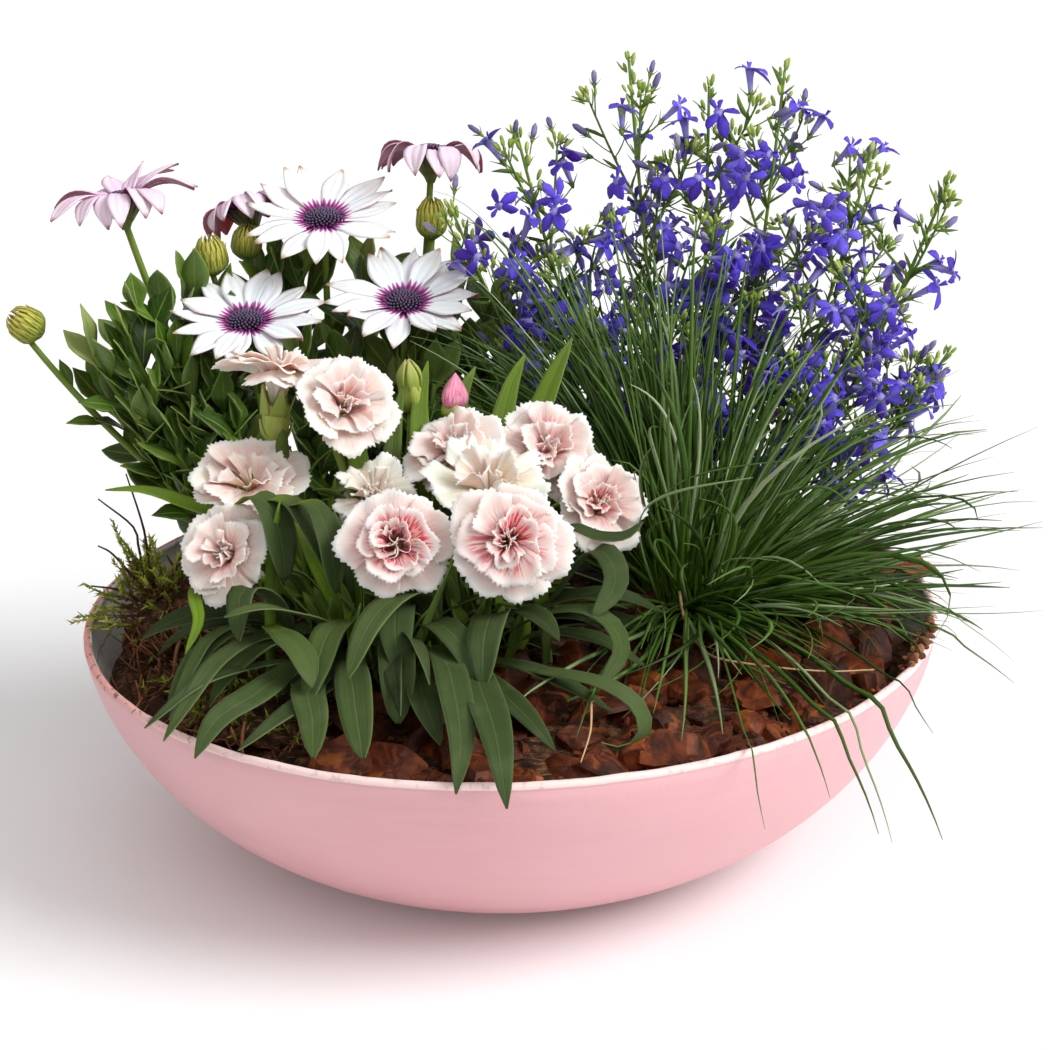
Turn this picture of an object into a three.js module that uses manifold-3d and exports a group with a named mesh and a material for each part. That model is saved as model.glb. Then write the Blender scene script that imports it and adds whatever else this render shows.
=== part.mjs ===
// A shallow round zinc bowl, planted with dianthus, osteospermum, blue grass and lobelia.
// Millimetres, +Z up. The origin is the centre of the bowl's base, and +X is the planting's right side
// as seen from the front, which faces -Y.
import * as THREE from "three";
import { mergeVertices } from "three/addons/utils/BufferGeometryUtils.js";
import Module from "manifold-3d";

const wasm = await Module();
wasm.setup();

// ---- Driving dimensions -------------------------------------------------------------------------

const GAP = 0.3; // clearance between pieces that touch

// The bowl's wall follows r = R * (1 - (depth / reach)^q)^(1/p) below the rim.
const BOWL = { radius: 175, height: 95, wall: 1.4, bead: 1.7, reach: 109, p: 2.4, q: 1.6, sides: 40 };
const WALL_DEPTHS = [8, 26, 44, 62, 78, 90];

// The soil is a low dome that ends below the rim.
const SOIL = { edge: 76, shoulder: 87, shoulderRadius: 135, top: 92 };

// Root balls stand in the soil, with their tops just proud of it.
const ROOT_BALLS = {
  dianthus: { x: -42, y: -42, top: 93, depth: 62, radius: 44 },
  osteospermum: { x: -72, y: 62, top: 92, depth: 60, radius: 44 },
  grass: { x: 74, y: -4, top: 93, depth: 64, radius: 36 },
  lobelia: { x: 80, y: 80, top: 91, depth: 54, radius: 35 },
};

const MOSS = [
  { x: -138, y: 20, radius: 30, height: 17, stretch: 1.5 },
  { x: -100, y: -92, radius: 26, height: 11, stretch: 1.3 },
];

const BARK = { count: 11, length: 27, width: 17, thickness: 7, inner: 100, outer: 152 };

// Flower heads: place, size across, and the way the face looks.
const DIANTHUS_HEADS = [
  { at: [-85, -5, 196], across: 46, faces: [-0.2, 0.15, 0.97] },
  { at: [-61, -22, 192], across: 46, faces: [0.35, -0.6, 0.7] },
  { at: [-104, -25, 163], across: 46, faces: [-0.1, -0.4, 0.9] },
  { at: [-112, -58, 141], across: 40, faces: [-0.45, -0.85, 0.25] },
  { at: [-53, -42, 167], across: 32, faces: [-0.1, -0.4, 0.9] },
  { at: [-42, -80, 151], across: 44, faces: [-0.05, -0.85, 0.5] },
  { at: [0, -86, 153], across: 47, faces: [0.08, -0.85, 0.5] },
  { at: [-22, -30, 183], across: 42, faces: [-0.3, -0.2, 0.93] },
  { at: [15, -28, 180], across: 46, faces: [0.1, -0.45, 0.88] },
  { at: [-10, -54, 170], across: 42, faces: [0, -0.4, 0.91] },
  { at: [39, -48, 153], across: 42, faces: [0.45, -0.75, 0.45] },
];
const DIANTHUS_BUDS = [
  { at: [-37, 0, 190], length: 24, across: 12 },
  { at: [-20, -2, 186], length: 20, across: 13 },
];
const DAISY_HEADS = [
  { at: [-75, 95, 238], across: 64, faces: [0, -0.28, 0.96], cup: 0.06 },
  { at: [-107, 60, 203], across: 65, faces: [0, -0.28, 0.96], cup: 0.06 },
  { at: [-41, 65, 208], across: 61, faces: [0.05, -0.39, 0.92], cup: 0.06 },
  { at: [-159, 90, 249], across: 62, faces: [-0.12, 0.12, 0.98], cup: -0.05 },
  { at: [-112, 118, 241], across: 34, faces: [-0.2, 0.1, 0.97], cup: -0.5 },
  { at: [-30, 112, 255], across: 42, faces: [-0.1, 0.05, 0.99], cup: -0.4 },
];
const DAISY_BUDS = [
  { at: [-200, 70, 200], length: 15, across: 15 },
  { at: [-123, 90, 222], length: 16, across: 14 },
  { at: [-109, 104, 224], length: 14, across: 13 },
  { at: [-29, 100, 233], length: 17, across: 13 },
];

// The dianthus grows in three tufts: each has a crown, leaves that arch over to their tips, and the stems
// of some heads and buds.
const DIANTHUS_TUFTS = {
  left: {
    crown: [-68, -48],
    tips: [[-162, 0, 150], [-150, -58, 118], [-124, -136, 104], [-112, -156, 104], [-104, -92, 120],
      [-96, 6, 150]],
    heads: [0, 2, 3],
    buds: [],
  },
  front: {
    crown: [-44, -62],
    tips: [[-72, -168, 104], [-51, -174, 103], [-84, -128, 112], [-17, -184, 98], [-60, 14, 160]],
    heads: [1, 4, 5],
    buds: [0],
  },
  right: {
    crown: [-14, -50],
    tips: [[-3, -188, 92], [34, -142, 98], [50, -108, 104], [58, -60, 122], [26, -4, 150]],
    heads: [6, 7, 8, 9, 10],
    buds: [1],
  },
};
const STRAP = { width: 12, thickness: 1.6 };

// Osteospermum branches: where each ends, and which heads and buds it carries.
const DAISY_BRANCHES = {
  left: { base: [-98, 62], tips: [[-200, 70, 191]], heads: [3], buds: [0], leaves: 11 },
  back: { base: [-76, 84], tips: [[-132, 122, 206]], heads: [0, 4], buds: [1, 2], leaves: 9 },
  middle: { base: [-86, 44], tips: [[-150, 40, 158]], heads: [1], buds: [], leaves: 9 },
  right: { base: [-48, 68], tips: [[32, 124, 176]], heads: [2, 5], buds: [3], leaves: 9 },
};
const DAISY_LEAF = { length: 25, width: 11, thickness: 1.6 };

// Grass: tips of the blades that reach furthest, and a fountain of others between them.
const GRASS_TIPS = [
  [-28, 60, 256], [-2, 48, 230], [-16, 30, 200], [16, -14, 172], [40, 30, 222], [58, 30, 240],
  [82, 20, 258], [104, 10, 248], [127, 0, 226], [150, -6, 198], [176, 4, 184], [196, 10, 162],
  [217, 0, 134], [198, -22, 134], [200, -52, 76], [158, -150, 56], [114, -170, 84], [90, -178, 76],
  [132, -168, 68], [48, -112, 100], [62, -148, 98], [24, -138, 96], [186, -44, 100], [170, -84, 104],
];
const GRASS_BLADE = { width: 2.2, thickness: 1.5 };

// Lobelia: the top of each spray.
const LOBELIA_TOPS = [
  [-20, 78, 243], [8, 92, 272], [56, 100, 300], [90, 104, 287], [122, 104, 293],
  [158, 96, 258], [190, 90, 246], [188, 66, 178],
];
const LOBELIA = { stem: 2.2, twigs: 3, twigLength: 24, flower: 15 };

// ---- Small helpers ------------------------------------------------------------------------------

const UP = new THREE.Vector3(0, 0, 1);
const vector = (list) => new THREE.Vector3(...list);
const GOLDEN_ANGLE = Math.PI * (3 - Math.sqrt(5));

// A repeatable random number from 0 to 1 for each whole number.
function chance(index) {
  const wave = Math.sin(index * 12.9898 + 4.1414) * 43758.5453;
  return wave - Math.floor(wave);
}

function solid(geometry) {
  const bare = geometry.clone();
  bare.deleteAttribute("normal");
  bare.deleteAttribute("uv");
  const merged = mergeVertices(bare, 1e-4);
  return new wasm.Manifold(
    new wasm.Mesh({
      numProp: 3,
      vertProperties: new Float32Array(merged.attributes.position.array),
      triVerts: new Uint32Array(merged.index.array),
    }),
  );
}

function geometryOf(body) {
  const mesh = body.getMesh();
  const geometry = new THREE.BufferGeometry();
  geometry.setAttribute("position", new THREE.BufferAttribute(mesh.vertProperties, 3));
  geometry.setIndex(new THREE.BufferAttribute(mesh.triVerts, 1));
  const faceted = geometry.toNonIndexed();
  faceted.computeVertexNormals();
  return faceted;
}

function join(bodies) {
  return bodies.reduce((whole, body) => whole.add(body));
}

// Cutting can leave crumbs: the largest piece is kept.
function largest(body) {
  const pieces = body.decompose();
  return pieces.reduce((best, piece) => (piece.volume() > best.volume() ? piece : best));
}

// A closed tapering body along a curve: the rings of a cylinder, each moved to its place on the curve.
// across is the direction of the width, taper the share of the section left at each point.
function sweep(curve, { width, thickness, across, taper, sides, steps }, grow) {
  const form = new THREE.CylinderGeometry(1, 1, 1, sides, steps);
  const place = form.attributes.position;
  for (let i = 0; i < place.count; i++) {
    const t = place.getY(i) + 0.5;
    const along = curve.getTangent(t);
    const side = across.clone().addScaledVector(along, -across.dot(along)).normalize();
    const out = new THREE.Vector3().crossVectors(side, along);
    const point = curve.getPoint(t).addScaledVector(along, grow * (2 * t - 1));
    point.addScaledVector(side, place.getX(i) * ((width / 2) * taper(t) + grow));
    point.addScaledVector(out, place.getZ(i) * ((thickness / 2) * taper(t) + grow));
    place.setXYZ(i, point.x, point.y, point.z);
  }
  return solid(form);
}

function stem(from, to, bend, { width, steps = 3, sides = 5 }, grow) {
  const middle = from.clone().lerp(to, 0.5).add(bend);
  const curve = new THREE.QuadraticBezierCurve3(from, middle, to);
  const across = Math.abs(to.x - from.x) > Math.abs(to.y - from.y) ? vector([0, 1, 0]) : vector([1, 0, 0]);
  const taper = (t) => 1 - 0.35 * t;
  return sweep(curve, { width, thickness: width, across, taper, sides, steps }, grow);
}

// A flower head round +Y: its profile is turned, and where edge is true its rim runs in and out to make
// petals. lift is the rise of the petals at full radius, as a share of that radius.
function flower({ profile, petals, reach, lift }, grow) {
  const points = profile.map(({ r, y }) => new THREE.Vector2(r, y));
  const form = new THREE.LatheGeometry(points, petals * reach.length);
  const place = form.attributes.position;
  for (let i = 0; i < place.count; i++) {
    const { r, y, edge, under } = profile[i % profile.length];
    const step = Math.floor(i / profile.length) % (petals * reach.length);
    const angle = (step / (petals * reach.length)) * 2 * Math.PI;
    const radius = r === 0 ? 0 : (edge ? r * reach[step % reach.length] : r) + grow;
    const rise = edge ? lift * radius + 0.05 * r * Math.cos(2.6 * step) : 0;
    place.setXYZ(i, radius * Math.sin(angle), y + rise + (under ? -grow : grow), radius * Math.cos(angle));
  }
  return solid(form);
}

function turned(body, faces, at) {
  const turn = new THREE.Quaternion().setFromUnitVectors(vector([0, 1, 0]), vector(faces).normalize());
  const frame = new THREE.Matrix4().compose(vector(at), turn, vector([1, 1, 1]));
  return body.transform(frame.elements);
}

function ball(radii, at, grow, across = 8, down = 5) {
  const form = new THREE.SphereGeometry(1, across, down);
  form.rotateX(Math.PI / 2);
  form.scale(...radii.map((radius) => radius + grow));
  form.translate(...at);
  return solid(form);
}

// ---- Materials ----------------------------------------------------------------------------------

function finish(color, roughness, metalness = 0) {
  return new THREE.MeshStandardMaterial({ color, roughness, metalness });
}

const MATERIALS = {
  zinc: finish(0xe3a9ae, 0.45, 0.1),
  soil: finish(0x2e2119, 0.95),
  roots: finish(0x4a3728, 0.95),
  bark: finish(0x6b3a28, 0.9),
  moss: finish(0x5c6123, 0.95),
  strapLeaf: finish(0x5c7a4a, 0.6),
  pinkPetal: finish(0xf6d3cf, 0.6),
  greenBud: finish(0x93a83a, 0.55),
  daisyLeaf: finish(0x2f5a1e, 0.5),
  whitePetal: finish(0xf8f1f1, 0.55),
  grass: finish(0x47684c, 0.6),
  lobelia: finish(0x4a3ccc, 0.55),
  dryLeaf: finish(0x9a4a2c, 0.8),
};

// ---- The bowl, the soil and the root balls ------------------------------------------------------

function wallRadius(z) {
  const depth = BOWL.height - z;
  return BOWL.radius * (1 - (depth / BOWL.reach) ** BOWL.q) ** (1 / BOWL.p);
}

function lathe(profile) {
  const points = profile.map(([r, z]) => new THREE.Vector2(r, z));
  const form = new THREE.LatheGeometry(points, BOWL.sides);
  form.rotateX(Math.PI / 2);
  return solid(form);
}

// The wall's outline from the centre of the base up to the bead, moved in by inset.
function wallOutline(inset, top) {
  const depths = [...WALL_DEPTHS].reverse();
  const heights = depths.map((depth) => BOWL.height - depth);
  const wall = heights.map((z) => [wallRadius(z) - inset, z + inset * 0.4]);
  const foot = wallRadius(0) - inset;
  return [[0, inset], [foot - 2, inset], ...wall.filter(([, z]) => z < top && z > inset + 2)];
}

function bowl(grow) {
  const rim = BOWL.radius - BOWL.bead;
  const beadZ = BOWL.height - BOWL.bead;
  const bead = [-50, 0, 45, 90, 135, 190].map((degrees) => {
    const angle = THREE.MathUtils.degToRad(degrees);
    const size = BOWL.bead + grow;
    return [rim + size * Math.cos(angle), beadZ + size * Math.sin(angle)];
  });
  const outside = wallOutline(-grow, beadZ - 3);
  const inside = wallOutline(BOWL.wall + grow, beadZ - 3).reverse();
  return lathe([...outside, ...bead, ...inside]);
}

function soilHeight(radius) {
  if (radius < SOIL.shoulderRadius) {
    const share = radius / SOIL.shoulderRadius;
    return SOIL.top - (SOIL.top - SOIL.shoulder) * share ** 2;
  }
  const edgeRadius = wallRadius(SOIL.edge);
  const share = (radius - SOIL.shoulderRadius) / (edgeRadius - SOIL.shoulderRadius);
  return SOIL.shoulder - (SOIL.shoulder - SOIL.edge) * share ** 1.4;
}

function soilDome(grow) {
  const inset = BOWL.wall + GAP - grow;
  const edge = wallRadius(SOIL.edge) - inset;
  const surface = [edge, 155, 135, 80].map((r) => [r, soilHeight(r) + grow]);
  return lathe([...wallOutline(inset, SOIL.edge - 2), ...surface, [0, SOIL.top + grow]]);
}

function rootBall({ x, y, top, depth, radius }, grow) {
  const form = new THREE.CylinderGeometry(radius + grow, radius * 0.8 + grow, depth + 2 * grow, 14);
  form.rotateX(Math.PI / 2);
  form.translate(x, y, top - depth / 2);
  return solid(form);
}

// ---- Moss and bark ------------------------------------------------------------------------------

function mossCushion({ x, y, radius, height, stretch }, grow) {
  const form = new THREE.SphereGeometry(1, 12, 8);
  const place = form.attributes.position;
  for (let i = 0; i < place.count; i++) {
    const swell = 1 + 0.09 * Math.sin(5 * place.getX(i) + 3 * place.getZ(i)) * Math.cos(4 * place.getY(i));
    place.setXYZ(i, place.getX(i) * swell, place.getY(i) * swell, place.getZ(i) * swell);
  }
  form.rotateX(Math.PI / 2);
  form.scale(radius + grow, radius * stretch + grow, height + grow);
  form.rotateZ(Math.atan2(y, x));
  form.translate(x, y, soilHeight(Math.hypot(x, y)) - 2);
  return solid(form);
}

// A chip is a slab with its corners knocked about.
function barkChip(index, grow) {
  const size = 0.8 + 0.5 * chance(index + 40);
  const form = new THREE.BoxGeometry(BARK.length * size, BARK.width, BARK.thickness, 2, 1, 1);
  const place = form.attributes.position;
  for (let i = 0; i < place.count; i++) {
    const corner = Math.round(place.getX(i) * 3 + place.getY(i) * 7 + place.getZ(i) * 11);
    const nudge = (step) => 1 - 0.35 * chance(corner + step + index * 31);
    const push = (value) => value + grow * Math.sign(value);
    place.setX(i, push(place.getX(i) * nudge(1)));
    place.setY(i, push(place.getY(i) * nudge(2)));
    place.setZ(i, push(place.getZ(i) * nudge(3)));
  }
  const share = (index + 0.5) / BARK.count;
  const angle = THREE.MathUtils.degToRad(-108 + 96 * share);
  const radius = index % 2 ? BARK.outer - 6 * chance(index) : BARK.inner + 14 * chance(index);
  form.rotateX(0.5 * (chance(index + 5) - 0.5));
  form.rotateY(0.5 * (chance(index + 9) - 0.5));
  form.rotateZ(6 * chance(index + 3));
  form.translate(radius * Math.cos(angle), radius * Math.sin(angle), soilHeight(radius) + 2.5);
  return solid(form);
}

function fallenLeaf(grow) {
  const from = vector([150, 30, 92]);
  const to = vector([178, 12, 99]);
  const curve = new THREE.QuadraticBezierCurve3(from, vector([165, 24, 100]), to);
  const taper = (t) => 0.2 + Math.sin(Math.PI * Math.min(1, t * 0.95 + 0.05));
  const across = vector([0.4, 0.9, 0.2]).normalize();
  return sweep(curve, { width: 14, thickness: 1.4, across, taper, sides: 4, steps: 4 }, grow);
}

// ---- Dianthus -----------------------------------------------------------------------------------

// Two frilled tiers of petals on a short throat.
function dianthusHead({ at, across, faces }, grow) {
  const radius = across / 2;
  const profile = [
    { r: 0, y: -2, under: true },
    { r: 3.5, y: -1.5, under: true },
    { r: radius, y: 1, edge: true, under: true },
    { r: radius, y: 2.6, edge: true },
    { r: radius * 0.4, y: radius * 0.22 },
    { r: radius * 0.68, y: radius * 0.38, edge: true },
    { r: radius * 0.2, y: radius * 0.3 },
    { r: 0, y: radius * 0.34 },
  ];
  return turned(flower({ profile, petals: 5, reach: [0.78, 1, 0.94], lift: 0.1 }, grow), faces, at);
}

// The stem of a head ends in a calyx tube that holds the flower from below.
function dianthusStem(crown, { at, faces }, grow) {
  const head = vector(at);
  const back = vector(faces).normalize().multiplyScalar(-1);
  const foot = vector([...crown, 92]);
  const neck = head.clone().addScaledVector(back, 12).add(vector([0, 0, -6]));
  const calyx = new THREE.QuadraticBezierCurve3(neck, head.clone().addScaledVector(back, 6), head);
  const across = vector([0.9, 0.3, 0.1]).normalize();
  const tube = { width: 6.5, thickness: 6.5, across, taper: () => 1, sides: 5, steps: 1 };
  const lean = vector([(head.x - foot.x) * -0.2, (head.y - foot.y) * -0.2, 8]);
  const shoot = { width: 3.4, sides: 4, steps: 2 };
  return join([
    stem(foot, neck.clone().add(vector([0, 0, 2])), lean, shoot, grow),
    sweep(calyx, tube, grow),
  ]);
}

function strapLeaf(crown, tip, grow) {
  const end = vector(tip);
  const heading = vector([end.x - crown[0], end.y - crown[1], 0]).normalize();
  const foot = vector([...crown, 98]).addScaledVector(heading, 5);
  const span = Math.hypot(end.x - foot.x, end.y - foot.y);
  const rise = Math.max(span * 0.42, end.z - foot.z + 12);
  const shoulder = foot.clone().lerp(end, 0.15).setZ(foot.z + rise);
  const crest = foot.clone().lerp(end, 0.82).setZ(Math.max(end.z + 14, 106));
  const curve = new THREE.CubicBezierCurve3(foot, shoulder, crest, end);
  const across = vector([foot.y - end.y, end.x - foot.x, 0]).normalize();
  const taper = (t) => 0.35 + 0.8 * Math.sin(Math.PI * t ** 0.9) - 0.2 * t;
  return sweep(curve, { ...STRAP, across, taper, sides: 3, steps: 5 }, grow);
}

// The foot of a bud, where its stem ends.
function budFoot({ at, length }) {
  return vector(at).add(vector([0, 0, 1 - length / 2]));
}

function dianthusTuft({ crown, tips, heads, buds }, grow) {
  const heart = ball([9, 9, 8], [...crown, 99], grow, 6, 4);
  const leaves = tips.map((tip) => strapLeaf(crown, tip, grow));
  const stems = heads.map((index) => dianthusStem(crown, DIANTHUS_HEADS[index], grow));
  const budStems = buds.map((index) => {
    const foot = vector([...crown, 99]);
    return stem(foot, budFoot(DIANTHUS_BUDS[index]), vector([0, 6, 0]), { width: 3, sides: 4 }, grow);
  });
  return join([heart, ...leaves, ...stems, ...budStems]);
}

function bud({ at, length, across }, grow) {
  return ball([across / 2, across / 2, length / 2], at, grow, 7, 5);
}

// ---- Osteospermum -------------------------------------------------------------------------------

// Petals round a low disc, with the cone of the calyx below.
function daisyHead({ at, across, faces, cup }, grow) {
  const radius = across / 2;
  const profile = [
    { r: 0, y: -8, under: true },
    { r: 2.5, y: -7.5, under: true },
    { r: radius, y: -0.8, edge: true, under: true },
    { r: radius, y: 0.8, edge: true },
    { r: 8, y: 1.5 },
    { r: 0, y: 5 },
  ];
  return turned(flower({ profile, petals: 13, reach: [0.42, 0.9, 1], lift: cup }, grow), faces, at);
}

function daisyLeaf(foot, heading, grow) {
  const end = foot.clone().addScaledVector(heading, DAISY_LEAF.length);
  const middle = foot.clone().lerp(end, 0.5).add(vector([0, 0, 3]));
  const across = new THREE.Vector3().crossVectors(heading, UP).normalize();
  const curve = new THREE.QuadraticBezierCurve3(foot, middle, end);
  const taper = (t) => 0.2 + 0.95 * Math.sin(Math.PI * t ** 1.5) * (1 - 0.1 * t);
  return sweep(curve, { ...DAISY_LEAF, across, taper, sides: 3, steps: 3 }, grow);
}

function leavesAlong(from, to, bend, count, seed, grow) {
  const middle = from.clone().lerp(to, 0.5).add(bend);
  const curve = new THREE.QuadraticBezierCurve3(from, middle, to);
  return Array.from({ length: count }, (_, i) => {
    const angle = (i + seed) * GOLDEN_ANGLE;
    const share = 0.28 + (0.55 * i) / count;
    const heading = vector([Math.cos(angle), Math.sin(angle), 0.75]).normalize();
    return daisyLeaf(curve.getPoint(share), heading, grow);
  });
}

function daisyBranch({ base, tips, heads, buds, leaves }, grow) {
  const foot = vector([...base, 92]);
  const headEnds = heads.map((index) => {
    const { at, faces } = DAISY_HEADS[index];
    return vector(at).addScaledVector(vector(faces).normalize(), -8);
  });
  const budEnds = buds.map((index) => budFoot(DAISY_BUDS[index]));
  const crown = ball([6, 6, 5], [...base, 97], grow, 6, 4);
  const parts = [...tips.map(vector), ...headEnds, ...budEnds].map((end, i) => {
    const bend = vector([(end.x - foot.x) * 0.1, (end.y - foot.y) * 0.1, -8]);
    const leafCount = i < tips.length ? leaves : 0;
    const shoot = stem(foot, end, bend, { width: 3.4, sides: 4 }, grow);
    return join([shoot, ...leavesAlong(foot, end, bend, leafCount, base[0], grow)]);
  });
  return join([crown, ...parts]);
}

// ---- Grass --------------------------------------------------------------------------------------

// A blade leaves the base steeply, arches, and droops past the rim if its tip is low.
function grassBlade(tip, grow) {
  const { x, y, top } = ROOT_BALLS.grass;
  const end = vector(tip);
  const heading = vector([end.x - x, end.y - y, 0]).normalize();
  const foot = vector([x, y, top + 8]).addScaledVector(heading, 9);
  const climb = Math.max(end.z - foot.z, 40);
  const shoulder = foot.clone().lerp(end, 0.2).setZ(foot.z + climb * 0.75);
  const crest = foot.clone().lerp(end, 0.72).setZ(Math.max(end.z + 6, foot.z + climb * 0.5));
  const curve = new THREE.CubicBezierCurve3(foot, shoulder, crest, end);
  const across = vector([-heading.y, heading.x, 0]);
  const taper = (t) => 1.15 - 0.85 * t;
  return sweep(curve, { ...GRASS_BLADE, across, taper, sides: 3, steps: 5 }, grow);
}

function grassTuft(grow) {
  const { x, y, top } = ROOT_BALLS.grass;
  const heart = ball([12, 12, 11], [x, y, top + 8], grow);
  return join([heart, ...GRASS_TIPS.map((tip) => grassBlade(tip, grow))]);
}

// ---- Lobelia ------------------------------------------------------------------------------------

function lobeliaFlower(at, faces, grow) {
  const radius = LOBELIA.flower / 2;
  const profile = [
    { r: 0, y: -2.5, under: true },
    { r: radius, y: 0, edge: true, under: true },
    { r: 0, y: 1.5 },
  ];
  return turned(flower({ profile, petals: 5, reach: [0.35, 1], lift: 0.1 }, grow), faces, at);
}

function lobeliaSpray(index, grow) {
  const top = vector(LOBELIA_TOPS[index]);
  const { x, y, top: ground } = ROOT_BALLS.lobelia;
  const foot = vector([x + (top.x - x) * 0.25, y + (top.y - 95) * 0.8, ground]);
  const bend = vector([(top.x - foot.x) * 0.1, 0, -6]);
  const middle = foot.clone().lerp(top, 0.5).add(bend);
  const curve = new THREE.QuadraticBezierCurve3(foot, middle, top);
  const parts = [stem(foot, top, bend, { width: LOBELIA.stem * 1.4, steps: 4, sides: 4 }, grow)];
  for (let i = 0; i < LOBELIA.twigs; i++) {
    const turn = (index * 3 + i) * GOLDEN_ANGLE;
    const start = curve.getPoint(0.5 + 0.15 * i);
    const heading = vector([Math.cos(turn), Math.sin(turn) * 0.7, 0.9]).normalize();
    const end = start.clone().addScaledVector(heading, LOBELIA.twigLength * (1 - 0.2 * i));
    parts.push(stem(start, end, vector([0, 0, -2]), { width: LOBELIA.stem, steps: 1, sides: 3 }, grow));
    parts.push(lobeliaFlower(end.toArray(), [heading.x * 0.6, heading.y * 0.6 - 0.6, 0.5], grow));
  }
  parts.push(lobeliaFlower(curve.getPoint(0.95).toArray(), [0.1, -0.8, 0.5], grow));
  return join(parts);
}

// ---- Assembly -----------------------------------------------------------------------------------

const planting = new THREE.Group();
const placed = [];

function boxesMeet(one, other) {
  const a = one.boundingBox();
  const b = other.boundingBox();
  return [0, 1, 2].every((axis) => a.min[axis] < b.max[axis] && b.min[axis] < a.max[axis]);
}

// Adds a piece and keeps it clear of every piece placed before it.
function place(name, material, make) {
  let body = make(0);
  for (const other of placed) {
    if (boxesMeet(body, other)) body = body.subtract(other);
  }
  placed.push(make(GAP));
  const mesh = new THREE.Mesh(geometryOf(largest(body)), MATERIALS[material]);
  mesh.name = name;
  planting.add(mesh);
}

const numbered = (name, index) => `${name}_${String(index + 1).padStart(2, "0")}`;

place("zinc_bowl", "zinc", bowl);
for (const [plant, size] of Object.entries(ROOT_BALLS)) {
  place(`${plant}_root_ball`, "roots", (grow) => rootBall(size, grow));
}
place("potting_soil", "soil", soilDome);
for (let i = 0; i < BARK.count; i++) {
  place(numbered("bark_chip", i), "bark", (grow) => barkChip(i, grow));
}
MOSS.forEach((size, i) => {
  place(numbered("moss_cushion", i), "moss", (grow) => mossCushion(size, grow));
});
place("fallen_leaf", "dryLeaf", fallenLeaf);
DIANTHUS_HEADS.forEach((head, i) => {
  place(numbered("dianthus_flower", i), "pinkPetal", (grow) => dianthusHead(head, grow));
});
DIANTHUS_BUDS.forEach((size, i) => {
  place(numbered("dianthus_bud", i), "greenBud", (grow) => bud(size, grow));
});
DAISY_HEADS.forEach((head, i) => {
  place(numbered("osteospermum_flower", i), "whitePetal", (grow) => daisyHead(head, grow));
});
DAISY_BUDS.forEach((size, i) => {
  place(numbered("osteospermum_bud", i), "greenBud", (grow) => bud(size, grow));
});
for (const [side, tuft] of Object.entries(DIANTHUS_TUFTS)) {
  place(`dianthus_leaves_${side}`, "strapLeaf", (grow) => dianthusTuft(tuft, grow));
}
for (const [side, branch] of Object.entries(DAISY_BRANCHES)) {
  place(`osteospermum_branch_${side}`, "daisyLeaf", (grow) => daisyBranch(branch, grow));
}
place("grass_tuft", "grass", grassTuft);
for (let i = 0; i < LOBELIA_TOPS.length; i++) {
  place(numbered("lobelia_spray", i), "lobelia", (grow) => lobeliaSpray(i, grow));
}

export default planting;
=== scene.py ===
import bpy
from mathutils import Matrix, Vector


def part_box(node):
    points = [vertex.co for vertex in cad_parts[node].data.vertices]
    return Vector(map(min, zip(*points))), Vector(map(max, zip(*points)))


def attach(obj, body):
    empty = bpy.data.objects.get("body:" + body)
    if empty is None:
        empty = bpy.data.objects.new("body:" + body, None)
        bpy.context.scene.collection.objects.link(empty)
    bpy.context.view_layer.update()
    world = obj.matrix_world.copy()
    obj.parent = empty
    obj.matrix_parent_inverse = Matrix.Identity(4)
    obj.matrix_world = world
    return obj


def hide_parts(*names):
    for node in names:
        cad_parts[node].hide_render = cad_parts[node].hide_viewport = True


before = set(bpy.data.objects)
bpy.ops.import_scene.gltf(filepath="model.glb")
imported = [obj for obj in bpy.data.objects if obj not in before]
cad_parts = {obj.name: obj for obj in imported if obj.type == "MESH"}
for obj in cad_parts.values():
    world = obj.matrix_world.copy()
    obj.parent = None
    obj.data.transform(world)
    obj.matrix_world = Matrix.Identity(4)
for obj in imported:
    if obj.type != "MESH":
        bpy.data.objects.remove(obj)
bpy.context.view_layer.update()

# The looks of a planted zinc bowl: dianthus, osteospermum, blue grass and lobelia in a shallow bowl.
# Lengths are millimetres until a mesh is made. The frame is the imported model's: +Z up, the origin at the
# centre of the bowl's base, and the front facing -Y.
import zlib
from collections import namedtuple

import bpy
import numpy as np
from mathutils import Matrix, Vector, noise

MM = 0.001
TAU = 2 * np.pi
GOLDEN_ANGLE = np.pi * (3 - 5 ** 0.5)
UP = np.array([0.0, 0.0, 1.0])

# ---- Places taken from the frame -----------------------------------------------------------------


def box(node):
    low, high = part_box(node)
    return np.array(low) / MM, np.array(high) / MM


def middle(node):
    low, high = box(node)
    return (low + high) / 2


def underside(node, above):
    """The point in the middle of a node's box, a little above its lowest."""
    return np.array([*middle(node)[:2], box(node)[0][2] + above])


def numbered(name, index):
    return f"{name}_{index + 1:02d}"


# ---- Small mathematics ---------------------------------------------------------------------------


def dice(name):
    """Random numbers of a piece's own, the same at each run."""
    return np.random.default_rng(zlib.crc32(name.encode()))


def unit(vectors):
    vectors = np.asarray(vectors, float)
    return vectors / np.maximum(np.linalg.norm(vectors, axis=-1, keepdims=True), 1e-9)


def level(angle):
    """The level direction at an angle."""
    return np.array([np.cos(angle), np.sin(angle), 0])


def smooth(low, high, value):
    share = np.clip((value - low) / (high - low), 0, 1)
    return share * share * (3 - 2 * share)


def mix(first, second, share):
    return np.asarray(first, float) * (1 - share) + np.asarray(second, float) * share


def unrolled(lean, step):
    """How far out and how high a line of equal steps gets that leans from upright by the angles given."""
    out = np.concatenate([[0], np.cumsum(np.sin(lean[:-1]))]) * step
    rise = np.concatenate([[0], np.cumsum(np.cos(lean[:-1]))]) * step
    return out, rise


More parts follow.
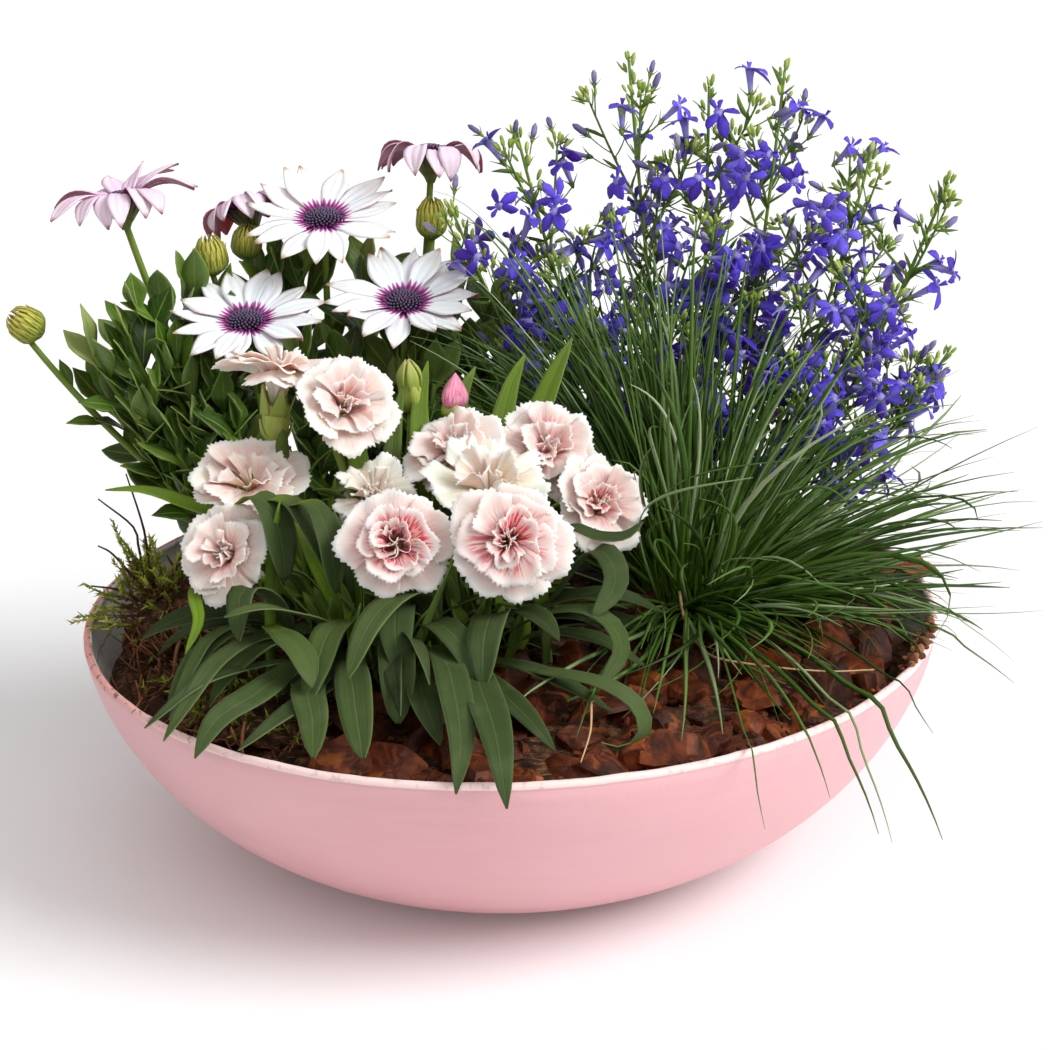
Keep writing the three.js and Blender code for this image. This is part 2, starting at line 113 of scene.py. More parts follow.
def evenly(path, count):
    """The same path with evenly spaced points."""
    steps = np.linalg.norm(np.diff(path, axis=0), axis=1)
    reached = np.concatenate([[0], np.cumsum(steps)])
    wanted = np.linspace(0, reached[-1], count)
    return np.stack([np.interp(wanted, reached, path[:, axis]) for axis in range(3)], axis=1)


def through(points, count):
    """A smooth path of evenly spaced points through the given ones."""
    p = np.asarray(points, float)
    p = np.vstack([2 * p[0] - p[1], p, 2 * p[-1] - p[-2]])
    spans = len(p) - 3
    t = np.linspace(0, spans, 20 * spans + 1)
    i = np.minimum(t.astype(int), spans - 1)
    f = (t - i)[:, None]
    a, b, c, d = p[i], p[i + 1], p[i + 2], p[i + 3]
    path = 0.5 * (2 * b + (c - a) * f + (2 * a - 5 * b + 4 * c - d) * f**2 + (3 * b - a - 3 * c + d) * f**3)
    return evenly(path, count)


def bowed(start, end, bend, count):
    """A path from start to end that swings by bend half way, as the stems of the frame do."""
    start, end = np.asarray(start, float), np.asarray(end, float)
    t = np.linspace(0, 1, count)[:, None]
    control = (start + end) / 2 + bend
    return (1 - t) ** 2 * start + 2 * t * (1 - t) * control + t**2 * end


def carried(path, side):
    """Two directions across a path at each of its points, which turn no more than the path does."""
    ahead = unit(np.gradient(path, axis=0))
    if side is None:
        side = np.cross(ahead[0], [0.31, 0.87, 0.38])
    sides = [unit(side - np.dot(side, ahead[0]) * ahead[0])]
    for direction in ahead[1:]:
        sides.append(unit(sides[-1] - np.dot(sides[-1], direction) * direction))
    sides = np.array(sides)
    return sides, np.cross(ahead, sides)


def aim(facing, roll=0.0):
    """A turn that takes +Z to the way given. Its columns are the turned axes."""
    z = unit(facing)
    x = unit(np.cross([0, 1, 0] if abs(z[1]) < 0.95 else [1, 0, 0], z))
    y = np.cross(z, x)
    return np.stack([np.cos(roll) * x + np.sin(roll) * y, np.cos(roll) * y - np.sin(roll) * x, z], axis=1)


def rough(points, size, octaves, shift=0.0):
    """Fractal noise, about -1 to 1, whose largest lumps are of the given size."""
    flat = np.asarray(points, float).reshape(-1, 3) / size + shift
    values = [noise.fractal(Vector(point), 1.0, 2.0, octaves) for point in flat]
    return np.array(values).reshape(np.shape(points)[:-1])


# ---- Pieces --------------------------------------------------------------------------------------

MARKS = ("along", "across", "tint", "under")


class Form:
    """A piece while it is built: its points, its faces and the marks that its materials read.

    along runs from a leaf's foot, 0, to its tip, 1, and across from one edge, -1, to the other, 1.
    tint is a shade that differs from leaf to leaf, and under is 1 on an underside.
    """

    def __init__(self):
        self.points = []
        self.marks = []
        self.faces = []
        self.count = 0

    def take(self, points, marks, faces):
        self.points.append(points)
        self.marks.append(marks)
        for corners, rounded, look in faces:
            self.faces.append((corners + self.count, rounded, look))
        self.count += len(points)

    def add(self, points, faces, look=0, along=0.0, across=0.0, tint=0.5, under=0.0):
        """faces is a list of (corner indices, rounded); flat ones keep a sharp edge to the rounded ones."""
        points = np.asarray(points, float).reshape(-1, 3)
        marks = np.empty((len(points), len(MARKS)), np.float32)
        for column, mark in enumerate((along, across, tint, under)):
            marks[:, column] = np.ravel(mark) if np.ndim(mark) else mark
        self.take(points, marks, [(corners, rounded, look) for corners, rounded in faces])

    def stamp(self, other, turn, at):
        """Copies another form in, turned and moved."""
        points = np.concatenate(other.points) @ np.asarray(turn).T + at
        self.take(points, np.concatenate(other.marks), other.faces)

    def piece(self, name, looks, slot, *nodes):
        """Makes the piece, which rides on the body and stands for CAD nodes. The record slot it is given is
        not used.
        """
        mesh = bpy.data.meshes.new(name)
        mesh.vertices.add(self.count)
        mesh.vertices.foreach_set("co", (np.concatenate(self.points) * MM).astype(np.float32).ravel())
        sizes = np.concatenate([np.full(len(c), c.shape[1]) for c, _, _ in self.faces])
        mesh.loops.add(int(sizes.sum()))
        corners = np.concatenate([c.ravel() for c, _, _ in self.faces])
        mesh.loops.foreach_set("vertex_index", corners.astype(np.int32))
        mesh.polygons.add(len(sizes))
        starts = np.concatenate([[0], np.cumsum(sizes)[:-1]])
        mesh.polygons.foreach_set("loop_start", starts.astype(np.int32))
        rounded = np.concatenate([np.full(len(c), r) for c, r, _ in self.faces])
        mesh.polygons.foreach_set("use_smooth", rounded.astype(bool))
        shown = np.concatenate([np.full(len(c), look) for c, _, look in self.faces])
        mesh.polygons.foreach_set("material_index", shown.astype(np.int32))
        marks = np.concatenate(self.marks)
        for column, mark in enumerate(MARKS):
            layer = mesh.attributes.new(mark, "FLOAT", "POINT")
            layer.data.foreach_set("value", np.ascontiguousarray(marks[:, column]))
        mesh.update(calc_edges=True)
        for look in looks:
            mesh.materials.append(look)
        piece = bpy.data.objects.new(name, mesh)
        bpy.context.scene.collection.objects.link(piece)
        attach(piece, "root")
        if nodes:
            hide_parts(*nodes)
        return piece


def quads(grid):
    """The faces between the rows and columns of a grid of indices."""
    return np.stack([grid[:-1, :-1], grid[1:, :-1], grid[1:, 1:], grid[:-1, 1:]], axis=-1).reshape(-1, 4)


def rings(form, grid, ends, look=0, tint=0.5, along=None):
    """A closed body of rings round a line that starts and ends at two points."""
    rows, columns = grid.shape[:2]
    points = np.concatenate([grid.reshape(-1, 3), np.asarray(ends, float).reshape(2, 3)])
    index = np.arange(rows * columns).reshape(rows, columns)
    after = np.roll(index, -1, axis=1)
    sides = np.stack([index[:-1], after[:-1], after[1:], index[1:]], axis=-1).reshape(-1, 4)
    foot = np.stack([np.full(columns, rows * columns), after[0], index[0]], axis=-1)
    tip = np.stack([np.full(columns, rows * columns + 1), index[-1], after[-1]], axis=-1)
    if along is None:
        along = np.linspace(0, 1, rows)
    along = np.concatenate([np.repeat(along, columns), [along[0], along[-1]]])
    across = np.concatenate([np.tile(np.linspace(-1, 1, columns), rows), [0, 0]])
    form.add(points, [(sides, True), (foot, True), (tip, True)], look, along, across, tint)


def shell(form, grid, thickness, look=0, tint=0.5):
    """A thin closed sheet over a grid of points, which runs from foot to tip and from edge to edge."""
    rows, columns = grid.shape[:2]
    normal = unit(np.cross(np.gradient(grid, axis=0), np.gradient(grid, axis=1)))
    size = rows * columns
    points = np.stack([grid + normal * thickness / 2, grid - normal * thickness / 2])
    top = np.arange(size).reshape(rows, columns)
    low = top + size
    rim = [
        np.stack([top[:-1, 0], low[:-1, 0], low[1:, 0], top[1:, 0]], axis=-1),
        np.stack([top[:-1, -1], top[1:, -1], low[1:, -1], low[:-1, -1]], axis=-1),
        np.stack([top[0, 1:], low[0, 1:], low[0, :-1], top[0, :-1]], axis=-1),
        np.stack([top[-1, :-1], low[-1, :-1], low[-1, 1:], top[-1, 1:]], axis=-1),
    ]
    along = np.tile(np.repeat(np.linspace(0, 1, rows), columns), 2)
    across = np.tile(np.linspace(-1, 1, columns), 2 * rows)
    under = np.repeat([0.0, 1.0], size)
    faces = [(quads(top), True), (quads(low)[:, [0, 3, 2, 1]], True), (np.concatenate(rim), False)]
    form.add(points, faces, look, along, across, tint, under)


def tube(form, path, radius, sides=6, look=0, tint=0.5, flat=1.0, side=None, along=None):
    """A closed stem along a path. flat is its thickness as a share of its width."""
    radius = np.broadcast_to(np.asarray(radius, float), len(path))[:, None, None]
    sideways, outward = carried(path, side)
    angle = (np.arange(sides) * TAU / sides)[None, :, None]
    ring = np.cos(angle) * sideways[:, None] + flat * np.sin(angle) * outward[:, None]
    rings(form, path[:, None] + radius * ring, path[[0, -1]], look, tint, along)


def leaf(form, path, half_widths, columns=5, fold=0.25, side=None, twist=0.0, ripple=0.0,
         thickness=0.5, look=0, tint=0.5, phase=0.0):
    """A leaf along a path. fold lifts its edges above the midrib, and ripple waves them."""
    across = np.linspace(-1, 1, columns)
    share = np.linspace(0, 1, len(path))[:, None]
    sideways, outward = carried(path, side)
    turn = twist * share
    sideways, outward = (np.cos(turn) * sideways + np.sin(turn) * outward,
                         np.cos(turn) * outward - np.sin(turn) * sideways)
    half = np.asarray(half_widths, float)[:, None]
    wave = ripple * np.sin(share * 17 + phase + 2.1 * np.sign(across)) * np.abs(across) ** 2
    lift = half * (fold * np.abs(across) ** 1.4 + wave)
    spread = sideways[:, None] * (half * across)[..., None] + outward[:, None] * lift[..., None]
    shell(form, path[:, None] + spread, thickness, look, tint)


def turned(radii, heights, segments, facing=UP, at=(0, 0, 0), lobes=0, depth=0.0):
    """The rings of a body turned round an axis, with lobes if they are asked for."""
    angle = np.arange(segments) * TAU / segments
    reach = np.asarray(radii, float)[:, None] * (1 + depth * np.cos(lobes * angle))
    heights = np.broadcast_to(np.asarray(heights, float)[:, None], reach.shape)
    grid = np.stack([reach * np.cos(angle), reach * np.sin(angle), heights], axis=-1)
    return grid @ aim(facing).T + at


LUMP_SIDES, LUMP_ROWS = 6, 3


def lump(form, radii, turn, at, rng, tint, rugged=0.25):
    """A closed uneven lump, such as a crumb of soil."""
    lat = np.linspace(0, np.pi, LUMP_ROWS + 2)[1:-1][::-1]
    uneven = 1 + rugged * rng.uniform(-1, 1, (LUMP_ROWS, LUMP_SIDES, 1))
    ball = turned(np.sin(lat), np.cos(lat), LUMP_SIDES) * uneven
    ends = np.array([[0, 0, -1.0], [0, 0, 1.0]])
    turn = np.asarray(turn) * np.asarray(radii, float)
    rings(form, ball @ turn.T + at, ends @ turn.T + at, tint=tint)


# ---- Materials -----------------------------------------------------------------------------------


def on_screen(colour):
    """A colour for a node, from one given as it shows on screen, 0 to 255."""
    values = np.array(colour) / 255
    linear = np.where(values <= 0.04045, values / 12.92, ((values + 0.055) / 1.055) ** 2.4)
    return (*linear.tolist(), 1.0)


class Paint:
    """Builds one node material round its Principled shader, with one layer of colour over another."""

    def __init__(self, name, roughness, specular, soft=0.0):
        self.material = bpy.data.materials.new(name)
        self.material.use_nodes = True
        self.tree = self.material.node_tree
        self.shader = self.tree.nodes["Principled BSDF"]
        self.colour = None
        self.set("Roughness", roughness)
        self.set("Specular IOR Level", specular)
        if soft:
            self.set("Subsurface Weight", soft)
            self.set("Subsurface Scale", 0.003)

    def set(self, socket, value):
        self.feed(self.shader.inputs[socket], value)

    def feed(self, socket, value):
        if isinstance(value, bpy.types.NodeSocket):
            self.tree.links.new(value, socket)
        elif socket.type == "RGBA" and len(value) == 3:
            socket.default_value = on_screen(value)
        else:
            socket.default_value = value

    def node(self, kind, settings=(), inputs=()):
        node = self.tree.nodes.new("ShaderNode" + kind)
        for name, value in dict(settings).items():
            setattr(node, name, value)
        for name, value in dict(inputs).items():
            self.feed(node.inputs[name], value)
        return node

    def mark(self, name):
        return self.node("Attribute", {"attribute_name": name}).outputs["Fac"]

    def place(self, stretch=(1, 1, 1)):
        spot = self.node("TexCoord").outputs["Object"]
        return self.node("Mapping", inputs={"Vector": spot, "Scale": stretch}).outputs["Vector"]

    def grain(self, along, across, scale=3, detail=3, distortion=0.0):
        """Noise that runs with a leaf's marks, and differs from leaf to leaf by its tint."""
        spot = {axis: self.times(self.mark(mark), amount)
                for axis, mark, amount in zip("XYZ", MARKS, (along, across, 40))}
        return self.noise(scale, detail, self.node("CombineXYZ", inputs=spot).outputs["Vector"], distortion)

    def noise(self, scale, detail, at=None, distortion=0.0):
        inputs = {"Scale": scale, "Detail": detail, "Distortion": distortion, "Vector": at or self.place()}
        return self.node("TexNoise", inputs=inputs).outputs["Fac"]

    def math(self, kind, first, second=0.0):
        return self.node("Math", {"operation": kind}, {0: first, 1: second}).outputs[0]

    def times(self, first, second):
        return self.math("MULTIPLY", first, second)

    def plus(self, first, second):
        return self.math("ADD", first, second)

    def less(self, first, second):
        return self.math("SUBTRACT", first, second)

    def between(self, value, low, high):
        """0 at low, 1 at high, and smooth between them."""
        settings = {"interpolation_type": "SMOOTHSTEP"}
        inputs = {"Value": value, "From Min": low, "From Max": high}
        return self.node("MapRange", settings, inputs).outputs["Result"]

    def blend(self, share, first, second, kind="MIX"):
        settings = {"data_type": "RGBA", "blend_type": kind}
        return self.node("Mix", settings, {0: share, 6: first, 7: second}).outputs[2]

    def ramp(self, value, *stops):
        """Colours along a value. Each stop is its position, red, green and blue."""
        node = self.node("ValToRGB", inputs={0: value})
        points = node.color_ramp.elements
        while len(points) < len(stops):
            points.new(1.0)
        for point, (position, *colour) in zip(points, stops):
            point.position = position
            point.color = on_screen(colour)
        return node.outputs["Color"]

    def over(self, share, colour, strength=None, kind="MIX"):
        """Lays a colour over what is there so far, where share is 1, at a strength."""
        if strength is not None:
            share = self.times(share, strength)
        self.colour = self.blend(share, self.colour, colour, kind)

    def bump(self, height, depth, strength):
        inputs = {"Height": height, "Distance": depth, "Strength": strength}
        self.set("Normal", self.node("Bump", inputs=inputs).outputs["Normal"])

    def done(self):
        self.set("Base Color", self.colour)
        return self.material


def pink_coating():
    """Satin pink lacquer on zinc: faintly blotched and brushed, with a painted highlight along the lip,
    which is worn to brown specks.
    """
    paint = Paint("pink_coating", roughness=0.42, specular=0.4)
    blotch = paint.between(paint.noise(9, 4), 0.3, 0.7)
    brushed = paint.between(paint.noise(30, 5, paint.place((1, 1, 9))), 0.25, 0.75)
    paint.colour = paint.blend(blotch, (223, 167, 172), (229, 176, 181))
    paint.over(brushed, (238, 192, 196), 0.2)
    # The lip is painted pale as a highlight along its bead. Towards the left it turns to a darker salmon.
    lip = paint.between(paint.mark("along"), 0.3, 0.9)
    left = paint.between(paint.mark("across"), 0.2, 0.95)
    paint.over(lip, paint.blend(left, (250, 222, 216), (214, 138, 128)), 0.9)
    chips = paint.between(paint.noise(330, 6), 0.56, 0.64)
    chips = paint.times(chips, paint.times(lip, paint.plus(left, 0.25)))
    paint.over(chips, (112, 66, 52), 0.85)
    sheen = paint.node("MapRange", inputs={"Value": brushed, "To Min": 0.38, "To Max": 0.48})
    paint.set("Roughness", sheen.outputs["Result"])
    paint.bump(paint.less(paint.noise(420, 4), chips), 0.0003, 0.3)
    return paint.done()


def bare_zinc():
    """Grey zinc with run marks and water lines, scuffed brown under the lip and where the soil meets it."""
    paint = Paint("bare_zinc", roughness=0.55, specular=0.45)
    streak = paint.noise(26, 6, paint.place((1, 1, 0.25)), distortion=0.4)
    paint.colour = paint.ramp(streak, (0.3, 204, 197, 194), (0.5, 228, 222, 218), (0.75, 246, 241, 238))
    paint.over(paint.between(paint.noise(160, 5), 0.6, 0.68), (150, 122, 104), 0.4)
    deep = paint.mark("tint")
    scuff = paint.times(paint.between(deep, 0.12, 0.02), paint.between(paint.noise(90, 5), 0.5, 0.6))
    paint.over(scuff, (132, 84, 66), 0.7)
    stain = paint.plus(deep, paint.times(paint.noise(40, 4), 0.5))
    paint.over(paint.between(stain, 1.15, 1.45), (124, 98, 80), 0.6)
    line = paint.times(paint.between(stain, 0.86, 0.9), paint.between(stain, 0.95, 0.91))
    paint.over(line, (128, 92, 74), 0.55)
    paint.bump(paint.noise(240, 5), 0.0006, 0.5)
    return paint.done()


def earth():
    paint = Paint("earth", roughness=0.96, specular=0.2)
    crumbs = paint.noise(180, 6)
    paint.colour = paint.ramp(crumbs, (0.3, 26, 17, 11), (0.52, 68, 45, 30), (0.75, 130, 90, 60))
    fibre = paint.noise(90, 6, paint.place((1, 4, 1)), distortion=2.0)
    paint.over(paint.between(fibre, 0.58, 0.66), (150, 102, 68), 0.7)
    paint.bump(paint.noise(420, 6), 0.0015, 0.9)
    return paint.done()


def root_fibre():
    paint = Paint("root_fibre", roughness=0.85, specular=0.2)
    grain = paint.grain(14, 5, 3, 5)
    paint.colour = paint.ramp(grain, (0.3, 42, 26, 18), (0.8, 104, 64, 42))
    pale = paint.ramp(grain, (0.3, 128, 72, 46), (0.55, 184, 122, 84), (0.8, 222, 180, 146))
    paint.over(paint.between(paint.mark("tint"), 0.15, 0.95), pale)
    paint.bump(grain, 0.0005, 0.7)
    return paint.done()


def bark():
    """Brown chips: smooth split faces, faintly grained, with orange scars and dark rot."""
    paint = Paint("bark", roughness=0.62, specular=0.35)
    grain = paint.grain(2, 4, 1.6, 5, distortion=0.3)
    blotch = paint.noise(75, 4)
    paint.colour = paint.ramp(grain, (0.3, 64, 30, 10), (0.5, 112, 54, 22), (0.72, 156, 86, 38))
    tone = paint.ramp(paint.mark("tint"), (0.0, 88, 74, 60), (0.5, 190, 164, 138), (1.0, 252, 228, 196))
    paint.over(0.85, tone, kind="MULTIPLY")
    paint.over(paint.between(blotch, 0.58, 0.68), (180, 98, 38), 0.55)
    paint.over(paint.between(blotch, 0.44, 0.3), (32, 18, 8), 0.8)
    paint.bump(paint.plus(grain, paint.times(paint.noise(420, 5), 0.35)), 0.0008, 0.7)
    return paint.done()


def moss():
    """Brown low on each sprig, green above, and yellow-green at its tips."""
    paint = Paint("moss", roughness=0.85, specular=0.25)
    green = paint.ramp(paint.mark("tint"), (0.0, 62, 72, 16), (0.5, 116, 130, 30), (1.0, 180, 188, 72))
    high = paint.mark("along")
    paint.colour = paint.blend(paint.between(high, 0.02, 0.45), (98, 68, 36), green)
    paint.over(paint.between(high, 0.72, 1.0), (204, 208, 98), 0.6)
    paint.over(paint.between(paint.noise(40, 3), 0.56, 0.68), (128, 90, 50), 0.6)
    paint.bump(paint.noise(500, 4), 0.0008, 0.6)
    return paint.done()


def dry_leaf():
    paint = Paint("dry_leaf", roughness=0.75, specular=0.3)
    veins = paint.grain(5, 3, 4, 5)
    paint.colour = paint.ramp(veins, (0.3, 110, 48, 26), (0.5, 164, 84, 50), (0.75, 196, 122, 84))
    paint.bump(veins, 0.0006, 0.7)
    return paint.done()


def pink_petal():
    """Pale pink, flushed and streaked with rose on inner petals, cream at the foot, paler at the edge."""
    paint = Paint("pink_petal", roughness=0.6, specular=0.15, soft=0.3)
    along = paint.mark("along")
    tint = paint.mark("tint")
    streak = paint.grain(1.1, 4.4, 2.4, 4)
    flush = paint.ramp(tint, (0.0, 249, 216, 182), (0.25, 248, 190, 177), (1.0, 240, 144, 150))
    paint.colour = paint.ramp(tint, (0.0, 254, 243, 226), (0.25, 254, 229, 219), (1.0, 252, 204, 202))
    paint.over(paint.times(paint.between(streak, 0.38, 0.66), paint.between(along, 0.96, 0.45)), flush, 0.85)
    reach = paint.plus(along, paint.times(paint.less(1.0, tint), 0.4))
    rose = paint.times(paint.between(along, 0.16, 0.34), paint.between(reach, 1.0, 0.78))
    rose = paint.times(rose, paint.between(streak, 0.46, 0.55))
    paint.over(paint.times(rose, paint.between(tint, 0.5, 0.95)), (222, 72, 92))
    paint.over(paint.between(along, 0.24, 0.04), (204, 200, 118))
    paint.over(paint.between(along, 0.8, 1.0), (255, 248, 242), 0.6)
    paint.over(paint.mark("under"), (254, 234, 222), 0.4)
    paint.bump(paint.grain(0.8, 12, 5, 4), 0.0006, 0.6)
    return paint.done()


def green_calyx():
    """Ribbed pale green, yellower low down."""
    paint = Paint("green_calyx", roughness=0.5, specular=0.3)
    ribs = paint.grain(0.4, 12)
    along = paint.mark("along")
    paint.colour = paint.ramp(along, (0.0, 148, 168, 66), (0.6, 172, 186, 92), (1.0, 196, 190, 118))
    paint.over(paint.between(ribs, 0.45, 0.65), (118, 142, 56), 0.5)
    paint.bump(ribs, 0.0004, 0.5)
    return paint.done()


def bud_skin():
    """Yellow-green bracts with yellow tips, darker at their feet and where they meet."""
    paint = Paint("bud_skin", roughness=0.5, specular=0.35)
    fresh = paint.ramp(paint.mark("along"), (0.0, 100, 124, 34), (0.45, 150, 164, 52), (1.0, 222, 206, 92))
    paint.colour = paint.blend(paint.mark("tint"), paint.blend(0.55, fresh, (74, 104, 28)), fresh)
    edge = paint.between(paint.math("ABSOLUTE", paint.mark("across")), 0.55, 1.0)
    paint.over(edge, (72, 84, 20), 0.6)
    grain = paint.grain(3, 12, 4, 4)
    paint.over(paint.between(grain, 0.45, 0.7), (222, 212, 122), 0.3)
    paint.bump(grain, 0.0005, 0.4)
    return paint.done()


def magenta_bud():
    paint = Paint("magenta_bud", roughness=0.55, specular=0.3)
    streak = paint.grain(1.5, 8, 3, 4)
    paint.colour = paint.ramp(streak, (0.3, 196, 82, 120), (0.6, 238, 160, 186), (0.8, 250, 208, 214))
    paint.bump(streak, 0.0004, 0.4)
    return paint.done()


def strap_leaf():
    """Matt grey-green over faint parallel veins, with a thin pale edge, and yellower at the foot."""
    paint = Paint("strap_leaf", roughness=0.68, specular=0.2)
    veins = paint.grain(0.2, 16, 3.4, 3)
    across = paint.math("ABSOLUTE", paint.mark("across"))
    rib = paint.between(across, 0.1, 0.02)
    # Low tints are painted shade, given to the leaves that lie low. The highest tints are the yellow-green
    # of young upright leaves.
    paint.colour = paint.ramp(paint.mark("tint"), (0.0, 44, 56, 26), (0.5, 66, 84, 42), (0.8, 92, 112, 52),
                              (1.0, 132, 168, 34))
    paint.over(paint.between(veins, 0.4, 0.6), (48, 62, 30), 0.4)
    paint.over(paint.between(paint.noise(60, 3), 0.4, 0.7), (100, 112, 76), 0.3)
    paint.over(rib, (128, 142, 88), 0.12)
    paint.over(paint.between(across, 0.9, 1.0), (132, 146, 94), 0.25)
    paint.over(paint.between(paint.mark("along"), 0.32, 0.0), (132, 158, 34), 0.75)
    paint.over(paint.mark("under"), (90, 106, 64), 0.35)
    paint.bump(paint.less(veins, rib), 0.0006, 0.55)
    return paint.done()


def fresh_stem():
    paint = Paint("fresh_stem", roughness=0.5, specular=0.35)
    grain = paint.grain(8, 3)
    tint = paint.mark("tint")
    paint.colour = paint.ramp(tint, (0.0, 74, 94, 24), (0.5, 116, 144, 36), (1.0, 160, 180, 76))
    paint.over(grain, (92, 112, 36), 0.4)
    paint.bump(grain, 0.0003, 0.4)
    return paint.done()


def daisy_petal():
    """White rays with a magenta foot that ends in spikes, or pink ones by tint; purple below."""
    paint = Paint("daisy_petal", roughness=0.5, specular=0.25, soft=0.25)
    along = paint.mark("along")
    tint = paint.mark("tint")
    white = paint.ramp(along, (0.0, 248, 228, 244), (0.35, 253, 249, 252), (0.88, 252, 244, 240),
                       (1.0, 192, 154, 130))
    pink = paint.ramp(along, (0.0, 206, 84, 168), (0.3, 244, 198, 228), (0.9, 242, 208, 226),
                      (1.0, 150, 96, 124))
    paint.colour = paint.blend(tint, white, pink)
    wave = paint.math("COSINE", paint.times(paint.mark("across"), 9.4))
    veins = paint.grain(0.5, 7)
    paint.over(paint.between(veins, 0.5, 0.75), (238, 214, 224), 0.3)
    spikes = paint.less(along, paint.plus(paint.times(wave, 0.05), paint.times(veins, 0.06)))
    halo = paint.times(paint.between(spikes, 0.25, 0.18), paint.less(0.95, paint.times(tint, 0.5)))
    paint.over(halo, (172, 34, 140))
    paint.over(paint.between(spikes, 0.16, 0.1), (92, 18, 86))
    mauve = paint.blend(paint.between(veins, 0.4, 0.62), (196, 160, 180), (132, 84, 112))
    plum = paint.blend(paint.between(veins, 0.35, 0.7), (134, 78, 104), (86, 42, 64))
    paint.over(paint.mark("under"), paint.blend(paint.between(tint, 0.3, 0.7), mauve, plum), 0.9)
    paint.bump(paint.plus(wave, veins), 0.0003, 0.35)
    return paint.done()


def daisy_disc():
    paint = Paint("daisy_disc", roughness=0.5, specular=0.35)
    paint.colour = paint.ramp(paint.mark("tint"), (0.0, 44, 32, 56), (0.5, 76, 58, 88), (0.8, 104, 76, 116),
                              (1.0, 150, 50, 124))
    paint.over(paint.between(paint.mark("along"), 0.6, 1.0), (138, 124, 154), 0.4)
    paint.bump(paint.noise(900, 3), 0.0003, 0.5)
    return paint.done()


def daisy_calyx():
    paint = Paint("daisy_calyx", roughness=0.55, specular=0.3)
    stripe = paint.grain(1, 10, 4, 3)
    along = paint.mark("along")
    paint.colour = paint.ramp(along, (0.0, 104, 116, 44), (0.55, 84, 84, 42), (1.0, 88, 54, 56))
    paint.over(paint.between(stripe, 0.45, 0.65), (66, 62, 40))
    paint.bump(stripe, 0.0004, 0.5)
    return paint.done()


def daisy_leaf():
    """Deep green with a pale midrib, faint side veins and a thin pale edge, duller below."""
    paint = Paint("daisy_leaf", roughness=0.4, specular=0.4, soft=0.08)
    across = paint.math("ABSOLUTE", paint.mark("across"))
    slant = paint.less(paint.times(paint.mark("along"), 40), paint.times(across, 14))
    side_veins = paint.between(paint.math("SINE", slant), 0.82, 1.0)
    rib = paint.between(across, 0.1, 0.02)
    paint.colour = paint.ramp(paint.mark("tint"), (0.0, 30, 54, 6), (0.45, 58, 94, 14), (0.8, 98, 132, 34),
                              (1.0, 148, 166, 92))
    paint.over(paint.between(paint.noise(120, 4), 0.35, 0.7), (44, 78, 8), 0.3)
    paint.over(side_veins, (120, 148, 56), 0.16)
    paint.over(rib, (144, 166, 80), 0.6)
    paint.over(paint.between(across, 0.86, 1.0), (144, 168, 80), 0.55)
    paint.over(paint.mark("under"), (92, 118, 56), 0.6)
    paint.bump(paint.plus(side_veins, rib), -0.0004, 0.5)
    return paint.done()


def grass():
    """Blades from deep green to grey-green, yellow-green low down; a few are dry."""
    paint = Paint("grass", roughness=0.5, specular=0.35)
    along = paint.mark("along")
    tint = paint.mark("tint")
    grain = paint.grain(3, 5)
    paint.colour = paint.ramp(tint, (0.0, 40, 64, 14), (0.35, 66, 100, 28), (0.62, 98, 130, 56),
                              (0.86, 144, 166, 116), (0.96, 176, 190, 152), (1.0, 212, 172, 130))
    paint.over(paint.between(grain, 0.4, 0.7), (56, 86, 24), 0.3)
    fresh_foot = paint.times(paint.between(along, 0.5, 0.1), paint.between(tint, 1.0, 0.98))
    paint.over(fresh_foot, (96, 128, 18), 0.7)
    paint.over(paint.between(along, 0.92, 1.0), (148, 140, 90), 0.3)
    paint.bump(grain, 0.0002, 0.3)
    return paint.done()


def lobelia_petal():
    """Violet-blue lobes, paler on the tube, with white at the throat."""
    paint = Paint("lobelia_petal", roughness=0.5, specular=0.25, soft=0.1)
    veins = paint.grain(1, 6)
    tint = paint.mark("tint")
    paint.colour = paint.ramp(tint, (0.0, 62, 42, 158), (0.5, 86, 68, 208), (1.0, 122, 110, 240))
    paint.over(paint.between(veins, 0.4, 0.7), (56, 34, 164), 0.5)
    paint.over(paint.between(paint.mark("along"), 0.16, 0.04), (206, 200, 246), 0.5)
    paint.over(paint.between(paint.mark("across"), 1.5, 2.0), (160, 152, 220), 0.8)
    paint.over(paint.mark("under"), (132, 122, 230), 0.35)
    paint.bump(veins, 0.0003, 0.35)
    return paint.done()


def closed_lobelia():
    """Grey-lilac buds that show green veins near the calyx."""
    paint = Paint("closed_lobelia", roughness=0.55, specular=0.3)
    grain = paint.grain(1, 6)
    tint = paint.mark("tint")
    paint.colour = paint.ramp(tint, (0.0, 92, 84, 128), (0.6, 134, 122, 178), (1.0, 180, 176, 190))
    paint.over(paint.between(grain, 0.45, 0.7), (96, 84, 140))
    paint.bump(grain, 0.0002, 0.3)
    return paint.done()


def lobelia_green():
    paint = Paint("lobelia_green", roughness=0.5, specular=0.35)
    grain = paint.grain(3, 4)
    tint = paint.mark("tint")
    paint.colour = paint.ramp(tint, (0.0, 54, 82, 20), (0.4, 94, 126, 36), (0.75, 142, 170, 66),
                              (1.0, 194, 208, 112))
    paint.over(grain, (80, 106, 34), 0.3)
    paint.bump(grain, 0.0002, 0.3)
    return paint.done()


